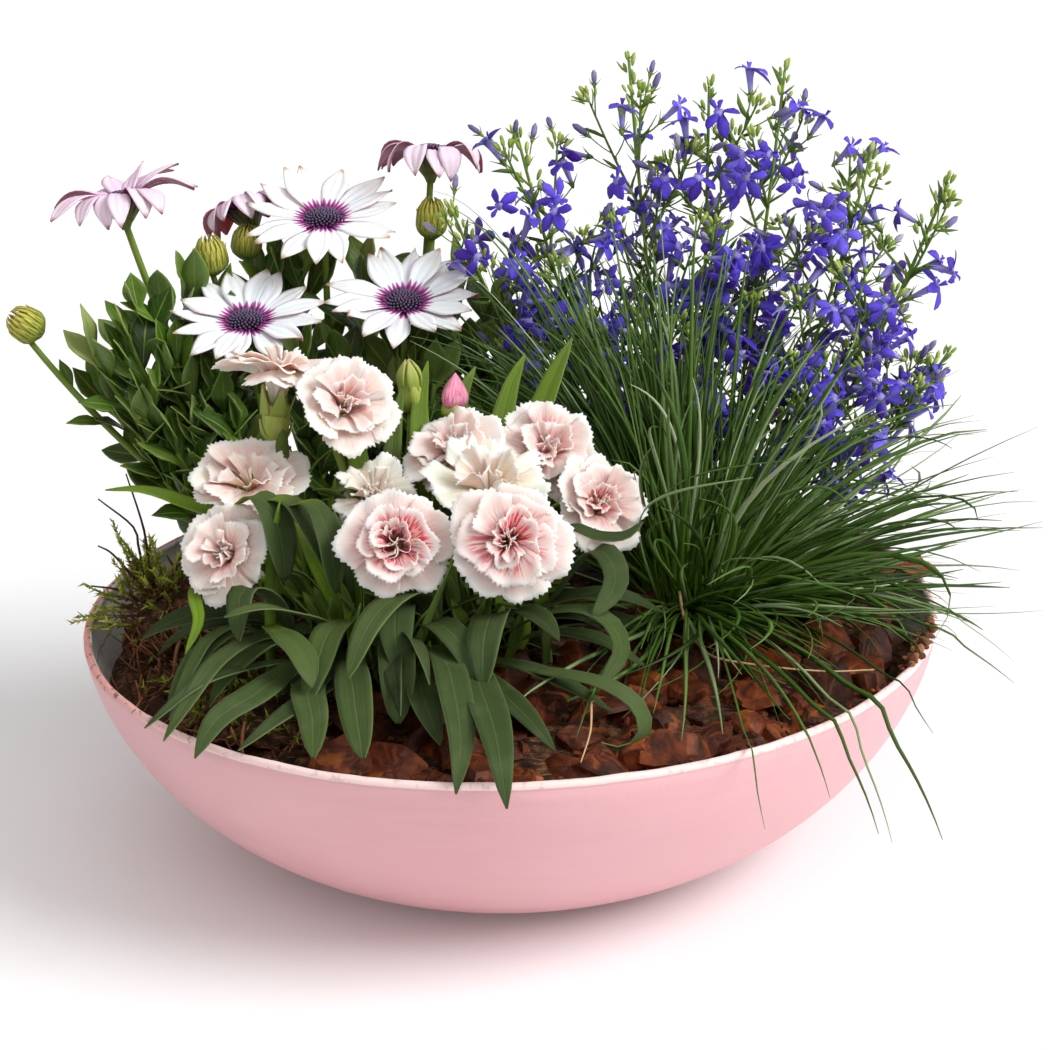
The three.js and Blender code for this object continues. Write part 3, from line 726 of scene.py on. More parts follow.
COATING = pink_coating()
ZINC = bare_zinc()
EARTH = earth()
FIBRE = root_fibre()
BARK = bark()
MOSS = moss()
DRY_LEAF = dry_leaf()
PINK_PETAL = pink_petal()
CALYX = green_calyx()
BUD_SKIN = bud_skin()
MAGENTA = magenta_bud()
STRAP_LEAF = strap_leaf()
STEM = fresh_stem()
DAISY_PETAL = daisy_petal()
DAISY_DISC = daisy_disc()
DAISY_CALYX = daisy_calyx()
DAISY_LEAF = daisy_leaf()
GRASS = grass()
LOBELIA_PETAL = lobelia_petal()
LOBELIA_GREEN = lobelia_green()
CLOSED_LOBELIA = closed_lobelia()

# ---- The bowl ------------------------------------------------------------------------------------

# The wall's curve by its reach and its powers p and q, its sheet and its rolled lip, and the soil's dome,
# all as in the frame.
RADIUS = box("zinc_bowl")[1][0]
HEIGHT = box("zinc_bowl")[1][2]
WALL = {"reach": 109, "p": 2.4, "q": 1.6, "thickness": 1.4, "bead": 1.7}
SOIL = {"edge": 76, "shoulder": 87, "shoulder_radius": 135, "top": box("potting_soil")[1][2]}
LIP_INSIDE, LIP_OUTSIDE = 163, 181  # a leaf or blade between these distances from the middle is over the lip


def wall_radius(z):
    """The outside of the wall at a height."""
    depth = (HEIGHT - np.asarray(z, float)) / WALL["reach"]
    return RADIUS * (1 - np.clip(depth, 0, 1) ** WALL["q"]) ** (1 / WALL["p"])


def soil_height(radius):
    inner = SOIL["top"] - (SOIL["top"] - SOIL["shoulder"]) * (radius / SOIL["shoulder_radius"]) ** 2
    edge = wall_radius(SOIL["edge"])
    share = np.clip((radius - SOIL["shoulder_radius"]) / (edge - SOIL["shoulder_radius"]), 0, 1)
    outer = SOIL["shoulder"] - (SOIL["shoulder"] - SOIL["edge"]) * share**1.4
    return np.where(radius < SOIL["shoulder_radius"], inner, outer)


def edge_dip(radius, angle):
    """How far the soil has sunk beside the wall, at the left and at the back right, where zinc shows."""
    left = smooth(0.55, 0.88, np.cos(np.asarray(angle) - np.radians(182)))
    right = smooth(0.75, 0.95, np.cos(np.asarray(angle) - np.radians(10)))
    return (8 * left + 6 * right) * smooth(138, 160, radius)


def bowl():
    """One skin: up the outside, over the rolled lip and down the bare inside."""
    segments, lip_rings, coated_lip_rings = 240, 11, 7
    bead = WALL["bead"]
    lip_z = HEIGHT - bead
    outside_z = np.concatenate([[0, 0, 0.6], np.linspace(2.5, lip_z - 2.2, 22)])
    outside_r = wall_radius(outside_z)
    outside_r[:2] = wall_radius(0) * np.array([0.6, 1]) - [0, 1.2]
    turn = np.radians(np.linspace(-50, 200, lip_rings))
    inside_z = np.concatenate([np.linspace(lip_z - 3, 66, 8), [50, 30, 12, 2.5, 1.6]])
    inside_r = wall_radius(inside_z) - WALL["thickness"]
    inside_r[-1] = wall_radius(0) * 0.7
    radii = np.concatenate([outside_r, RADIUS - bead + bead * np.cos(turn), inside_r])
    heights = np.concatenate([outside_z, lip_z + bead * np.sin(turn), inside_z])
    grid = turned(radii, heights, segments)
    angle = np.arange(segments) * TAU / segments
    # Hand-formed metal is a little out of round, and the lip is dented and knocked.
    high = smooth(20, HEIGHT, heights)[:, None]
    around = np.stack([np.cos(angle), np.sin(angle), 0 * angle], axis=1)
    out_of_round = 0.5 * rough(around, 0.9, 2)[None] * high
    at_lip = smooth(HEIGHT - 5, HEIGHT - 1, heights)[:, None]
    knocks = 0.28 * rough(around * RADIUS, 9, 3, 7.0)[None] * at_lip
    grid[..., :2] *= (1 + (out_of_round + knocks - 0.4 * high) / RADIUS)[..., None]
    grid[..., 2] += 0.35 * (rough(around * RADIUS, 12, 3, 3.0)[None] - 0.9) * at_lip
    form = Form()
    rings(form, grid, [[0, 0, 0], [0, 0, WALL["thickness"]]])
    # along marks the lip, across how far left a point is, and tint how deep it lies inside.
    coated = len(outside_r) + coated_lip_rings
    inside = np.arange(len(radii)) >= coated
    marks = form.marks[0]
    marks[:-2, 0] = np.repeat(smooth(HEIGHT - 4.2, HEIGHT - 1.5, heights), segments)
    marks[:-2, 1] = np.tile(np.clip(-np.cos(angle + 0.3), 0, 1), len(radii))
    marks[:-2, 2] = np.repeat(np.where(inside, smooth(HEIGHT - 3, SOIL["edge"] - 4, heights), 0), segments)
    (sides, _, _), (foot, _, _), (inner, _, _) = form.faces
    split = coated * segments
    form.faces = [(sides[:split], True, 0), (sides[split:], True, 1), (foot, True, 0), (inner, True, 1)]
    form.piece("zinc_bowl_skin", [COATING, ZINC], "coated_zinc", "zinc_bowl")


# ---- Soil, roots, bark and moss ------------------------------------------------------------------


def ground(radius, angle):
    height = soil_height(radius) - edge_dip(radius, angle)
    return np.stack([radius * np.cos(angle), radius * np.sin(angle), height], axis=-1)


def spread_radius(rng, inner, outer):
    """A distance from the middle that covers a ring of soil evenly."""
    return np.sqrt(rng.uniform(inner**2, outer**2))


def scattered(rng, count, gap, ring, degrees):
    """Places on the soil, as radius and angle, that keep a gap between them."""
    places = []
    spots = np.zeros((0, 2))
    tries = count * 40
    for _ in range(tries):
        radius = spread_radius(rng, *ring)
        angle = np.radians(rng.uniform(*degrees))
        spot = radius * level(angle)[:2]
        if len(spots) and np.linalg.norm(spots - spot, axis=1).min() < gap:
            continue
        spots = np.vstack([spots, spot])
        places.append((radius, angle))
        if len(places) == count:
            break
    return places


def resting_height(radius):
    """How low a leaf or blade may hang: on the soil inside the bowl, on the lip, and free beyond it."""
    inside = mix(soil_height(np.minimum(radius, 160)) + 2.5, HEIGHT + 2, smooth(150, 166, radius))
    return np.where(radius < LIP_OUTSIDE, inside, HEIGHT + 2 - (radius - LIP_OUTSIDE) * 4)


def fibre(form, rng, at, heading, length, radius, tint, look=0):
    """A dry root or stalk that lies bowed across a spot."""
    heading = unit(heading)
    path = bowed(at - heading * length / 2, at + heading * length / 2, rng.normal(0, length * 0.18, 3), 7)
    tube(form, path, radius * np.array([0.6, 1, 1, 0.9, 0.8, 0.6, 0.3]), 4, look=look, tint=tint)


def soil():
    rng = dice("soil")
    inset = WALL["thickness"] + 0.4
    edge = wall_radius(SOIL["edge"]) - inset
    top_r = np.concatenate([[edge], edge - 1.6 * np.arange(1, 9) ** 1.2, np.linspace(134, 3, 34)])
    low_z = np.array([3, 20, 38, 56.0])
    radii = np.concatenate([[60], wall_radius(low_z) - inset, top_r])
    heights = np.concatenate([[3], low_z, soil_height(top_r)])
    grid = turned(radii, heights, 144)
    surface = np.concatenate([np.zeros(5), smooth(0, 6, edge - top_r)])[:, None]
    grid[..., 2] += surface * (2.6 * rough(grid, 16, 5) + 0.9 * rough(grid, 4, 3, 9.0))
    grid[5:, :, 2] -= edge_dip(radii[5:, None], np.arctan2(grid[5:, :, 1], grid[5:, :, 0]))
    inside = wall_radius(grid[..., 2]) - inset
    grid[..., :2] *= np.minimum(1, inside / radii[:, None])[..., None]
    form = Form()
    rings(form, grid, [[0, 0, 3], [0, 0, SOIL["top"]]])
    # Crumbs lie on the surface.
    for _ in range(220):
        at = ground(spread_radius(rng, 20, 158), rng.uniform(0, TAU)) + [0, 0, 0.4]
        size = rng.uniform(1.0, 3.2)
        lump(form, size * rng.uniform(0.6, 1.2, 3), aim(rng.normal(size=3)), at, rng, tint=rng.random())
    form.piece("potting_soil_fine", [EARTH], "soil", "potting_soil")


def root_ball(plant):
    """A plug of soil held by fine roots."""
    node = f"{plant}_root_ball"
    rng = dice(node)
    low, high = box(node)
    centre = middle(node)
    radius = (high[0] - low[0]) / 2
    t = np.linspace(0, 1, 14)
    radii = np.concatenate([[radius * 0.45], radius * (0.8 + 0.2 * t), [radius * 0.7, radius * 0.35]])
    heights = np.concatenate([[low[2]], mix(low[2], high[2], t), [high[2], high[2]]])
    grid = turned(radii, heights, 48, at=(centre[0], centre[1], 0))
    push = 0.8 * rough(grid, 9, 4)[..., None] * unit(grid - centre)
    form = Form()
    rings(form, grid + push - [0, 0, 0.8], [[*centre[:2], low[2]], [*centre[:2], high[2] - 0.4]])
    for _ in range(26):
        start = rng.uniform(0, TAU)
        z = np.linspace(high[2] - 2, low[2] + 3, 9)
        wander = start + np.cumsum(rng.normal(0, 0.16, 9))
        reach = radius * (0.8 + 0.2 * (z - low[2]) / (high[2] - low[2])) - 0.2
        path = np.stack([centre[0] + reach * np.cos(wander), centre[1] + reach * np.sin(wander), z], axis=1)
        tube(form, path, np.linspace(0.5, 0.2, 9), 5, look=1, tint=rng.random())
    form.piece(f"{node}_fine", [EARTH, FIBRE], "root_ball", node)


def chip_grid(rng, length, width, thickness, segments=20):
    """A split chip: a many-sided slab with steep broken sides, flat faces and slanting cuts."""
    sides = rng.integers(4, 7)
    corners = (np.arange(sides) + rng.uniform(-0.3, 0.3, sides)) * TAU / sides + rng.uniform(0, TAU)
    angle = np.arange(segments) * TAU / segments
    apothem = rng.uniform(0.66, 1.0, sides)
    facing = np.cos(angle[:, None] - corners[None])
    reach = np.min(np.where(facing > 0.25, apothem / np.maximum(facing, 0.25), 1.3), axis=1)
    radius = np.array([0.66, 0.97, 1.0, 0.96, 0.88, 0.46])[:, None] * np.clip(reach, 0.5, 1.3)
    x = radius * np.cos(angle) * length / 2
    y = radius * np.sin(angle) * width / 2
    z = np.array([-0.5, -0.44, -0.1, 0.4, 0.49, 0.5])[:, None] * thickness + 0 * x
    grid = np.stack([x, y, z], axis=-1)
    seed = rng.uniform(0, 100)
    swell = rough(grid * [0.5, 1, 1], width / 2, 2, seed)
    ridges = rough(grid * [0.2, 1, 1], width / 7, 2, seed + 5)
    uneven = thickness * (0.06 * swell + 0.05 * ridges)
    grid += np.stack([0 * x, 0.03 * width * ridges, uneven], axis=-1)
    for _ in range(5):
        tilt = rng.uniform(0.25, 1.25)
        away = np.sin(tilt) * level(rng.uniform(0, TAU)) + np.cos(tilt) * UP
        beyond = grid @ away
        beyond = np.maximum(beyond - rng.uniform(0.45, 0.82) * beyond.max(), 0)
        grid -= beyond[..., None] * away
    return grid, np.array([grid[0].mean(0), grid[-1].mean(0)])


def bark_piece(form, name, *nodes):
    """Makes a piece of chips, whose edges stay sharp where a surface turns by more than 20 degrees."""
    form.piece(name, [BARK], "bark", *nodes).data.set_sharp_from_angle(angle=np.radians(20))


def bark_chips():
    for node in sorted(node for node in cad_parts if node.startswith("bark_chip")):
        rng = dice(node)
        low, high = box(node)
        grid, ends = chip_grid(rng, 27, 18, 7, segments=28)
        turn = aim([rng.normal(0, 0.2), rng.normal(0, 0.2), 1], rng.uniform(0, TAU))
        grid, ends = grid @ turn.T, ends @ turn.T
        least, most = grid.reshape(-1, 3).min(0), grid.reshape(-1, 3).max(0)
        scale = (high - low) / (most - least)
        shift = (high + low) / 2 - scale * (least + most) / 2
        form = Form()
        rings(form, grid * scale + shift, ends * scale + shift, tint=rng.random())
        bark_piece(form, f"{node}_fine", node)


# Layers of chips: how many, their gap, the ring and the degrees that they cover, their lift and lengths.
MULCH = [
    (70, 13, (46, 158), (-124, 14), -3.0, (16, 26)),
    (60, 17, (54, 156), (-118, 8), 2.5, (21, 36)),
    (16, 20, (60, 140), (20, 140), -1.5, (14, 22)),
    (50, 9, (70, 160), (-124, 10), 2.0, (6, 13)),
]


def mulch():
    """The other chips: layers over the right front and a few behind, with splinters between them."""
    rng = dice("mulch")
    form = Form()
    for count, gap, ring, degrees, lift, lengths in MULCH:
        for radius, angle in scattered(rng, count, gap, ring, degrees):
            length = rng.uniform(*lengths)
            width = length * rng.uniform(0.5, 0.85)
            radius = min(radius, 163 - 0.45 * length)
            at = ground(radius, angle) + [0, 0, lift + rng.uniform(-2, 2)]
            turn = aim([rng.normal(0, 0.36), rng.normal(-0.2, 0.36), 1], rng.uniform(0, TAU))
            thickness, tint = rng.uniform(0.26, 0.42) * length, rng.random()
            grid, ends = chip_grid(rng, length, width, thickness)
            rings(form, grid @ turn.T + at, ends @ turn.T + at, tint=tint)
    for radius, angle in scattered(rng, count=170, gap=2, ring=(60, 161), degrees=(-125, 20)):
        length = rng.uniform(2, 7)
        turn = aim(rng.normal(size=3) + [0, 0, 1.5], rng.uniform(0, TAU))
        lump(form, [length / 2, length / 4, length / 5], turn, ground(radius, angle) + [0, 0, 2], rng,
             tint=rng.random(), rugged=0.3)
    # Red dust and splinters lie in a line against the inside of the lip.
    for _ in range(150):
        angle = np.radians(rng.uniform(-110, -22))
        at = rng.uniform(168.5, 171) * level(angle) + [0, 0, HEIGHT - rng.uniform(0.6, 4)]
        lump(form, rng.uniform(0.4, 1.2, 3), aim(rng.normal(size=3)), at, rng, tint=rng.random())
    bark_piece(form, "bark_mulch")


def moss_sprig(form, rng, at, lean, length, tint, leafy):
    """A curved thin stem with small pointed leaves that spread from it."""
    path = bowed(at, at + unit(lean) * length, rng.normal(0, length * 0.16, 3), 5)
    tube(form, path, np.linspace(0.42, 0.2, 5) * leafy, 3, tint=tint * 0.7)
    count = int(length * 1.4 / leafy) + 3
    spine = evenly(path, count + 1)
    faces = np.array([[0, 1, 3], [1, 2, 3], [2, 0, 3], [0, 2, 1]])
    for i in range(1, count + 1):
        ahead = unit(spine[i] - spine[i - 1])
        around = i * GOLDEN_ANGLE + rng.normal(0, 0.5)
        out = unit(aim(ahead) @ level(around) + rng.uniform(0.6, 1.8) * ahead)
        size = rng.uniform(1.4, 2.8) * leafy
        foot = spine[i]
        wide = 0.22 * size * unit(np.cross(out, ahead))
        deep = 0.12 * size * unit(np.cross(wide, out))
        corners = np.array([foot - wide, foot + wide, foot + deep * 1.5, foot + out * size])
        share = i / count
        form.add(corners, [(faces, False)], along=[share - 0.3, share - 0.3, share - 0.3, share], tint=tint)


def upward(vector):
    """The same direction, but never below level."""
    x, y, z = unit(vector)
    return np.array([x, y, abs(z)])


def moss_cushion(index, sprigs, reach, fibres):
    """A low hummock with sprigs in loose tufts and roots that cross it every way."""
    node = numbered("moss_cushion", index)
    rng = dice(node)
    low, high = box(node)
    centre, half = (low + high) / 2, (high - low) / 2
    centre[2] = low[2] + 4
    heading = np.arctan2(centre[1], centre[0])
    centre -= 3 * level(heading)
    turn = aim(UP, heading)
    size = np.array([min(half[:2]) * 0.72, max(half[:2]) * 0.95, high[2] - centre[2] - 2])
    grid = turned([0.8, 1.0, 0.97, 0.86, 0.66, 0.38], [-0.3, 0.0, 0.35, 0.66, 0.88, 0.98], 60)
    grid = (grid * size) @ turn.T + centre
    grid += unit(grid - centre) * (3.0 * rough(grid, 8, 4)[..., None])
    form = Form()
    rings(form, grid, [centre - [0, 0, 4], centre + [0, 0, size[2]]], look=2, tint=0.3)
    tufts = unit(rng.normal(size=(30, 3)) * [1, 1, 0.6] + [0, 0, 0.9])
    for i in range(sprigs):
        spot = upward(tufts[i % len(tufts)] + rng.normal(0, 0.14, 3))
        at = (spot * size * 0.97) @ turn.T + centre
        away = unit((spot / size) @ turn.T) + rng.normal(0, 0.6, 3)
        moss_sprig(form, rng, at, away, rng.uniform(*reach), np.clip(rng.normal(0.6, 0.25), 0, 1),
                   rng.uniform(0.9, 1.3))
    for _ in range(fibres):
        spot = upward(rng.normal(size=3) * [1, 1, 0.7] + [0, 0, 0.6])
        at = (spot * size * 1.05) @ turn.T + centre
        lie = np.cross(spot, rng.normal(size=3)) + 0.5 * rng.normal(size=3)
        fibre(form, rng, at, lie, rng.uniform(8, 24), rng.uniform(0.25, 0.95), rng.random(), look=1)
    return node, form, rng


# Sprigs that stand up in a tuft at the back and reach over the lip at the left, from foot to tip.
STRAGGLING_MOSS = np.array([
    [[-150, 14, 100], [-165, 20, 131]], [[-150, 12, 102], [-160, 10, 125]],
    [[-150, 14, 102], [-148, 18, 123]], [[-148, 2, 98], [-177, -4, 108]],
    [[-150, -4, 96], [-179, -8, 98]], [[-152, -8, 94], [-170, -15, 96]],
    [[-144, 10, 98], [-147, 15, 120]], [[-141, 6, 98], [-137, 14, 113]],
    [[-149, 8, 102], [-161, 6, 117]], [[-154, -2, 100], [-160, 4, 114]],
    [[-146, 16, 98], [-153, 24, 117]], [[-138, 14, 98], [-134, 18, 112]],
    [[-146, 6, 100], [-158, 2, 112]], [[-144, 4, 102], [-145, -2, 114]],
    [[-148, 10, 100], [-152, 12, 116]], [[-142, 12, 98], [-141, 16, 117]],
], float)


def moss_cushions():
    node, form, rng = moss_cushion(0, sprigs=120, reach=(4, 9), fibres=130)
    for start, end in STRAGGLING_MOSS:
        for share in (1.0, 0.8, 0.6):
            tip = mix(start, end, share) + rng.normal(0, 2.2, 3)
            foot = mix(start, end, rng.uniform(0, 0.3)) + rng.normal(0, 1.0, 3)
            moss_sprig(form, rng, foot, tip - foot, np.linalg.norm(tip - foot), rng.uniform(0.4, 1.0),
                       rng.uniform(1.3, 1.7))
    form.piece(f"{node}_fine", [MOSS, FIBRE, EARTH], "moss", node)
    node, form, rng = moss_cushion(1, sprigs=120, reach=(3, 6.5), fibres=50)
    # It spreads over the soil near by in loose clumps.
    clumps, sprigs = 12, 12
    for _ in range(clumps):
        clump = ground(rng.uniform(108, 146), np.radians(rng.uniform(190, 232)))
        for _ in range(sprigs):
            spot = clump + rng.normal(0, 4.0, 3)
            at = ground(min(np.hypot(spot[0], spot[1]), 156), np.arctan2(spot[1], spot[0])) + [0, 0, 1]
            lean = rng.normal(0, 0.7, 3) + UP
            moss_sprig(form, rng, at, lean, rng.uniform(3, 7.5), rng.uniform(0.1, 0.9), 1.4)
    form.piece(f"{node}_fine", [MOSS, FIBRE, EARTH], "moss", node)


STALKS = [
    [[-151, 12, 106], [-153, 14, 120], [-155, 16, 128], [-169, 20, 139]],
    [[-149, 14, 106], [-150, 16, 122], [-152, 18, 132], [-157, 22, 149]],
    [[-150, 0, 100], [-160, 0, 106], [-171, -2, 109]],
    [[-154, 6, 108], [-163, 8, 119], [-169, 10, 122]],
]


def litter():
    """Dark stalks, torn roots and dry fibres over the soil at the left, and crumbs knocked on to the lip."""
    rng = dice("litter")
    form = Form()
    for stalk in STALKS:
        tube(form, through(stalk, 12), np.linspace(0.7, 0.35, 12), 5, tint=0.0)
    for _ in range(130):
        at = ground(spread_radius(rng, 70, 158), np.radians(rng.uniform(150, 250)))
        at = at + [0, 0, rng.uniform(0.5, 4)]
        fibre(form, rng, at, [rng.normal(), rng.normal(), rng.normal(0, 0.2)], rng.uniform(6, 22),
              rng.uniform(0.2, 0.7), rng.random())
    # Torn brown roots stand up among the moss, and lie along the wall in front of it, by turns.
    for i in range(210):
        standing = i % 2 == 0
        angle = np.radians(rng.uniform(166, 202) if standing else rng.uniform(186, 236))
        at = ground(rng.uniform(122, 158) if standing else rng.uniform(138, 163), angle)
        at = at + [0, 0, rng.uniform(0, 7)]
        lie = UP if standing else np.array([-np.sin(angle), np.cos(angle), 0.1])
        heading = unit(lie + rng.normal(0, 0.5, 3))
        path = bowed(at, at + heading * rng.uniform(5, 17), rng.normal(0, 1.8, 3), 5)
        path *= np.minimum(1, 165 / np.hypot(path[:, 0], path[:, 1]))[:, None] ** [1, 1, 0]
        tube(form, path, rng.uniform(0.25, 0.85) * np.array([0.7, 1.1, 0.9, 1.0, 0.4]), 4, tint=rng.random(),
             flat=0.5)
    # Crumbs lie on the lip and against it at the right.
    for _ in range(50):
        angle = np.radians(rng.uniform(-27, -10))
        radius = rng.uniform(167, 174)
        at = radius * level(angle) + [0, 0, HEIGHT + 0.3 if radius > 171 else HEIGHT - 4]
        lump(form, rng.uniform(0.8, 2.6, 3), aim(rng.normal(size=3)), at, rng, tint=rng.uniform(0.3, 1.0))
    form.piece("dry_litter", [FIBRE], "root_ball")


def fallen_leaf():
    """A withered leaf, curled at its edges, that lies on the rim at the right."""
    low, high = box("fallen_leaf")
    centre = mix(low, high, np.array([0.5, 0.6, 0]))
    path = through([[low[0], high[1] - 3, low[2] + 1], [centre[0], centre[1], high[2] - 3],
                    [high[0] - 1, low[1] + 3, high[2] - 1.5]], 17)
    t = np.linspace(0, 1, 17)
    half = 7.2 * np.sin(np.pi * (0.06 + 0.88 * t)) * (1 + 0.22 * np.sin(23 * t))
    form = Form()
    leaf(form, path, half, columns=11, fold=0.3, side=[0.4, 0.9, 0.2], ripple=0.25, thickness=0.35)
    form.piece("fallen_leaf_fine", [DRY_LEAF], "dry_leaf", "fallen_leaf")


# ---- Dianthus ------------------------------------------------------------------------------------

Bloom = namedtuple("Bloom", "make width pink faces moved calyx tall", defaults=(4.2, 23))

# Each flower: its whorls, its width, how pink it is, the way it faces, how far it stands from the place in
# the frame, and the radius and height of its calyx.
BLOOMS = [
    Bloom("trumpet", 46, 0.35, (0.15, 0.25, 0.94), (-4, 0, -8), 5.6, 17),
    Bloom("open", 41, 0.62, (0.3, -0.68, 0.62), (-1, 0, -3)),
    Bloom("saucer", 46, 0.4, (-0.05, -0.42, 0.9), (2, 0, -4)),
    Bloom("open", 38, 0.62, (-0.3, -0.8, 0.5), (4, 0, 3)),
    Bloom("loose", 32, 0.12, (-0.1, -0.5, 0.85), (1, 0, -9), 3.8),
    Bloom("rose", 42, 1.0, (0, -0.9, 0.42), (0, 0, 0)),
    Bloom("full", 45, 0.95, (0.05, -0.88, 0.46), (0, 0, 2), 4.6),
    Bloom("open", 40, 0.6, (-0.25, -0.36, 0.9), (3, 0, -12)),
    Bloom("full", 44, 0.68, (0.05, -0.55, 0.82), (0, 0, -11)),
    Bloom("loose", 48, 0.14, (0, -0.45, 0.9), (3, 0, -9)),
    Bloom("open", 39, 0.8, (0.5, -0.7, 0.5), (-4, 0, 3)),
]
BLOOM_RISE = 3.0  # from a head's own point to the middle of its box, along the way it faces
MOUTH = 6.0  # how far below that point the petals leave the calyx

# Whorls of petals from the outermost in. Each: how many, their length as a share of the longest, how far
# they lean from the axis at foot and edge, half the angle of the fan, its ruffle, and where the lean
# changes.
WHORLS = {
    "open": [(5, 1.0, 34, 92, 0.92, 1.3, (0.1, 0.7)), (5, 0.86, 24, 70, 0.95, 1.6, (0.15, 0.8)),
             (4, 0.64, 12, 40, 0.9, 1.9, (0.3, 1.0)), (3, 0.46, 4, 16, 0.8, 1.6, (0.3, 1.0))],
    "full": [(5, 1.0, 34, 96, 0.92, 1.3, (0.1, 0.7)), (5, 0.9, 24, 80, 0.98, 1.5, (0.2, 0.8)),
             (5, 0.74, 12, 52, 1.0, 1.6, (0.35, 0.95)), (4, 0.56, 6, 24, 1.0, 1.9, (0.45, 1.05))],
    "saucer": [(5, 1.0, 46, 88, 0.95, 1.1, (0.1, 0.6)), (5, 0.86, 38, 72, 0.95, 1.4, (0.1, 0.7)),
               (4, 0.6, 26, 48, 0.8, 1.9, (0.2, 1.0))],
    "rose": [(5, 1.0, 34, 96, 0.9, 1.3, (0.1, 0.7)), (5, 0.88, 26, 74, 1.0, 0.9, (0.35, 0.85)),
             (4, 0.74, 24, 42, 1.15, 0.9, (0.5, 1.0)), (4, 0.6, 20, 10, 1.15, 0.9, (0.5, 1.0))],
    "loose": [(5, 1.0, 24, 88, 0.7, 2.3, (0.1, 0.7)), (4, 0.84, 10, 52, 0.74, 2.8, (0.2, 0.9)),
              (3, 0.7, 0, 26, 0.7, 2.4, (0.3, 1.0))],
    "trumpet": [(5, 1.0, 16, 112, 0.92, 1.5, (0.28, 0.7)), (5, 0.9, 12, 94, 0.92, 1.8, (0.3, 0.8)),
                (4, 0.7, 4, 50, 0.85, 1.9, (0.3, 1.0))],
}
PETAL_ROWS, PETAL_COLUMNS, PETAL_STEPS = 10, 19, 47
PETAL_REACH = 1.15  # how far past its length a petal's line is known, for its longest lobes
FRINGE = 0.93  # where along a petal the teeth of its edge start
PINK_OF_WHORL = (0.5, 0.78, 1.0, 1.1)


def bloom_point(index):
    """The middle of a bloom."""
    return middle(numbered("dianthus_flower", index)) + BLOOMS[index].moved


def covers_bloom(path):
    """Whether a leaf runs close in front of a bloom."""
    for index, kind in enumerate(BLOOMS):
        front = bloom_point(index) + unit(kind.faces) * 6 - [0, 6, 0]
        if np.linalg.norm(path - front, axis=1).min() < kind.width * 0.46:
            return True
    return False


def leaning(start, end, change, t):
    """How far a petal leans from its flower's axis, which goes from start to end degrees over a change."""
    return np.radians(start + (end - start) * smooth(*change, t))


def frilled_petal(rng, length, lean, half_angle, ruffle, overlap, cup, rounded):
    """A broad pleated fan round +Z along +X, one side lying over its neighbour.

    lean gives the angle from the axis along the petal, and rounded how much shorter its sides are than
    its middle. It gives a grid of points, and the toothed row of its edge, which is twice as fine.
    """
    fine = np.linspace(0, PETAL_REACH, len(lean))
    radius, height = unrolled(lean, fine[1] * length)
    phases = rng.uniform(0, TAU, 6)

    def sheet(s, v, teeth=0.0):
        lobes = 0.06 * np.sin(3.4 * v + phases[0]) + 0.035 * np.sin(8 * v + phases[4])
        share = s * (1 + (lobes - rounded * np.abs(v) ** 2.6) * s**2 + teeth)
        tilt = np.interp(share, fine, lean)
        pleats = (np.sin(2.1 * v + phases[1]) + 0.55 * np.sin(5.4 * v + phases[2])
                  + 0.26 * np.sin(11 * v + phases[3]) * (0.6 + s))
        wave = ruffle * pleats * s**1.4 + overlap * v * s - cup * v**2 * s
        r = 2.0 + np.interp(share, fine, radius) - np.cos(tilt) * wave
        z = np.interp(share, fine, height) + np.sin(tilt) * wave
        angle = half_angle * (0.45 + 0.55 * smooth(0, 0.5, s)) * v + 0.06 * np.sin(4 * s + phases[5]) * s
        return np.stack([r * np.cos(angle), r * np.sin(angle), z], axis=-1)

    across = np.linspace(-1, 1, 2 * PETAL_COLUMNS - 1)
    teeth = np.where(np.arange(len(across)) % 2, 0.024, -0.012) + rng.normal(0, 0.014, len(across))
    rows = FRINGE * np.linspace(0, 1, PETAL_ROWS)[:, None] ** 0.9
    return sheet(rows, across[::2]), sheet(1.0, across, teeth)


def frilled_sheet(form, grid, edge, thickness, tint):
    """A thin closed sheet whose far edge has two points for each column of its grid."""
    rows, columns = grid.shape[:2]
    normal = unit(np.cross(np.gradient(grid, axis=0), np.gradient(grid, axis=1)))
    normal = np.concatenate([normal.reshape(-1, 3), np.repeat(normal[-1], 2, axis=0)[:len(edge)]])
    sheet = np.concatenate([grid.reshape(-1, 3), edge])
    size = len(sheet)
    top = np.arange(rows * columns).reshape(rows, columns)
    fringe = rows * columns + np.arange(len(edge))
    before, after = top[-1, :-1], top[-1, 1:]
    notch, tooth, next_notch = fringe[:-1:2], fringe[1::2], fringe[2::2]
    corners = [(before, notch, tooth), (before, tooth, after), (after, tooth, next_notch)]
    strip = np.concatenate([np.stack(corner, axis=-1) for corner in corners])
    left = np.append(top[:, 0], fringe[0])
    right = np.append(top[:, -1], fringe[-1])
    rim = [np.stack([chain[:-1], chain[:-1] + size, chain[1:] + size, chain[1:]], axis=-1)
           for chain in (left, right[::-1], top[0, ::-1], fringe)]
    along = np.concatenate([np.repeat(FRINGE * np.linspace(0, 1, rows), columns), np.ones(len(edge))])
    across = np.concatenate([np.tile(np.linspace(-1, 1, columns), rows), np.linspace(-1, 1, len(edge))])
    faces = [(quads(top), True), (strip, True), (quads(top)[:, ::-1] + size, True),
             (strip[:, ::-1] + size, True), (np.concatenate(rim), False)]
    points = np.concatenate([sheet + normal * thickness / 2, sheet - normal * thickness / 2])
    form.add(points, faces, 0, np.tile(along, 2), np.tile(across, 2), tint, np.repeat([0.0, 1.0], size))


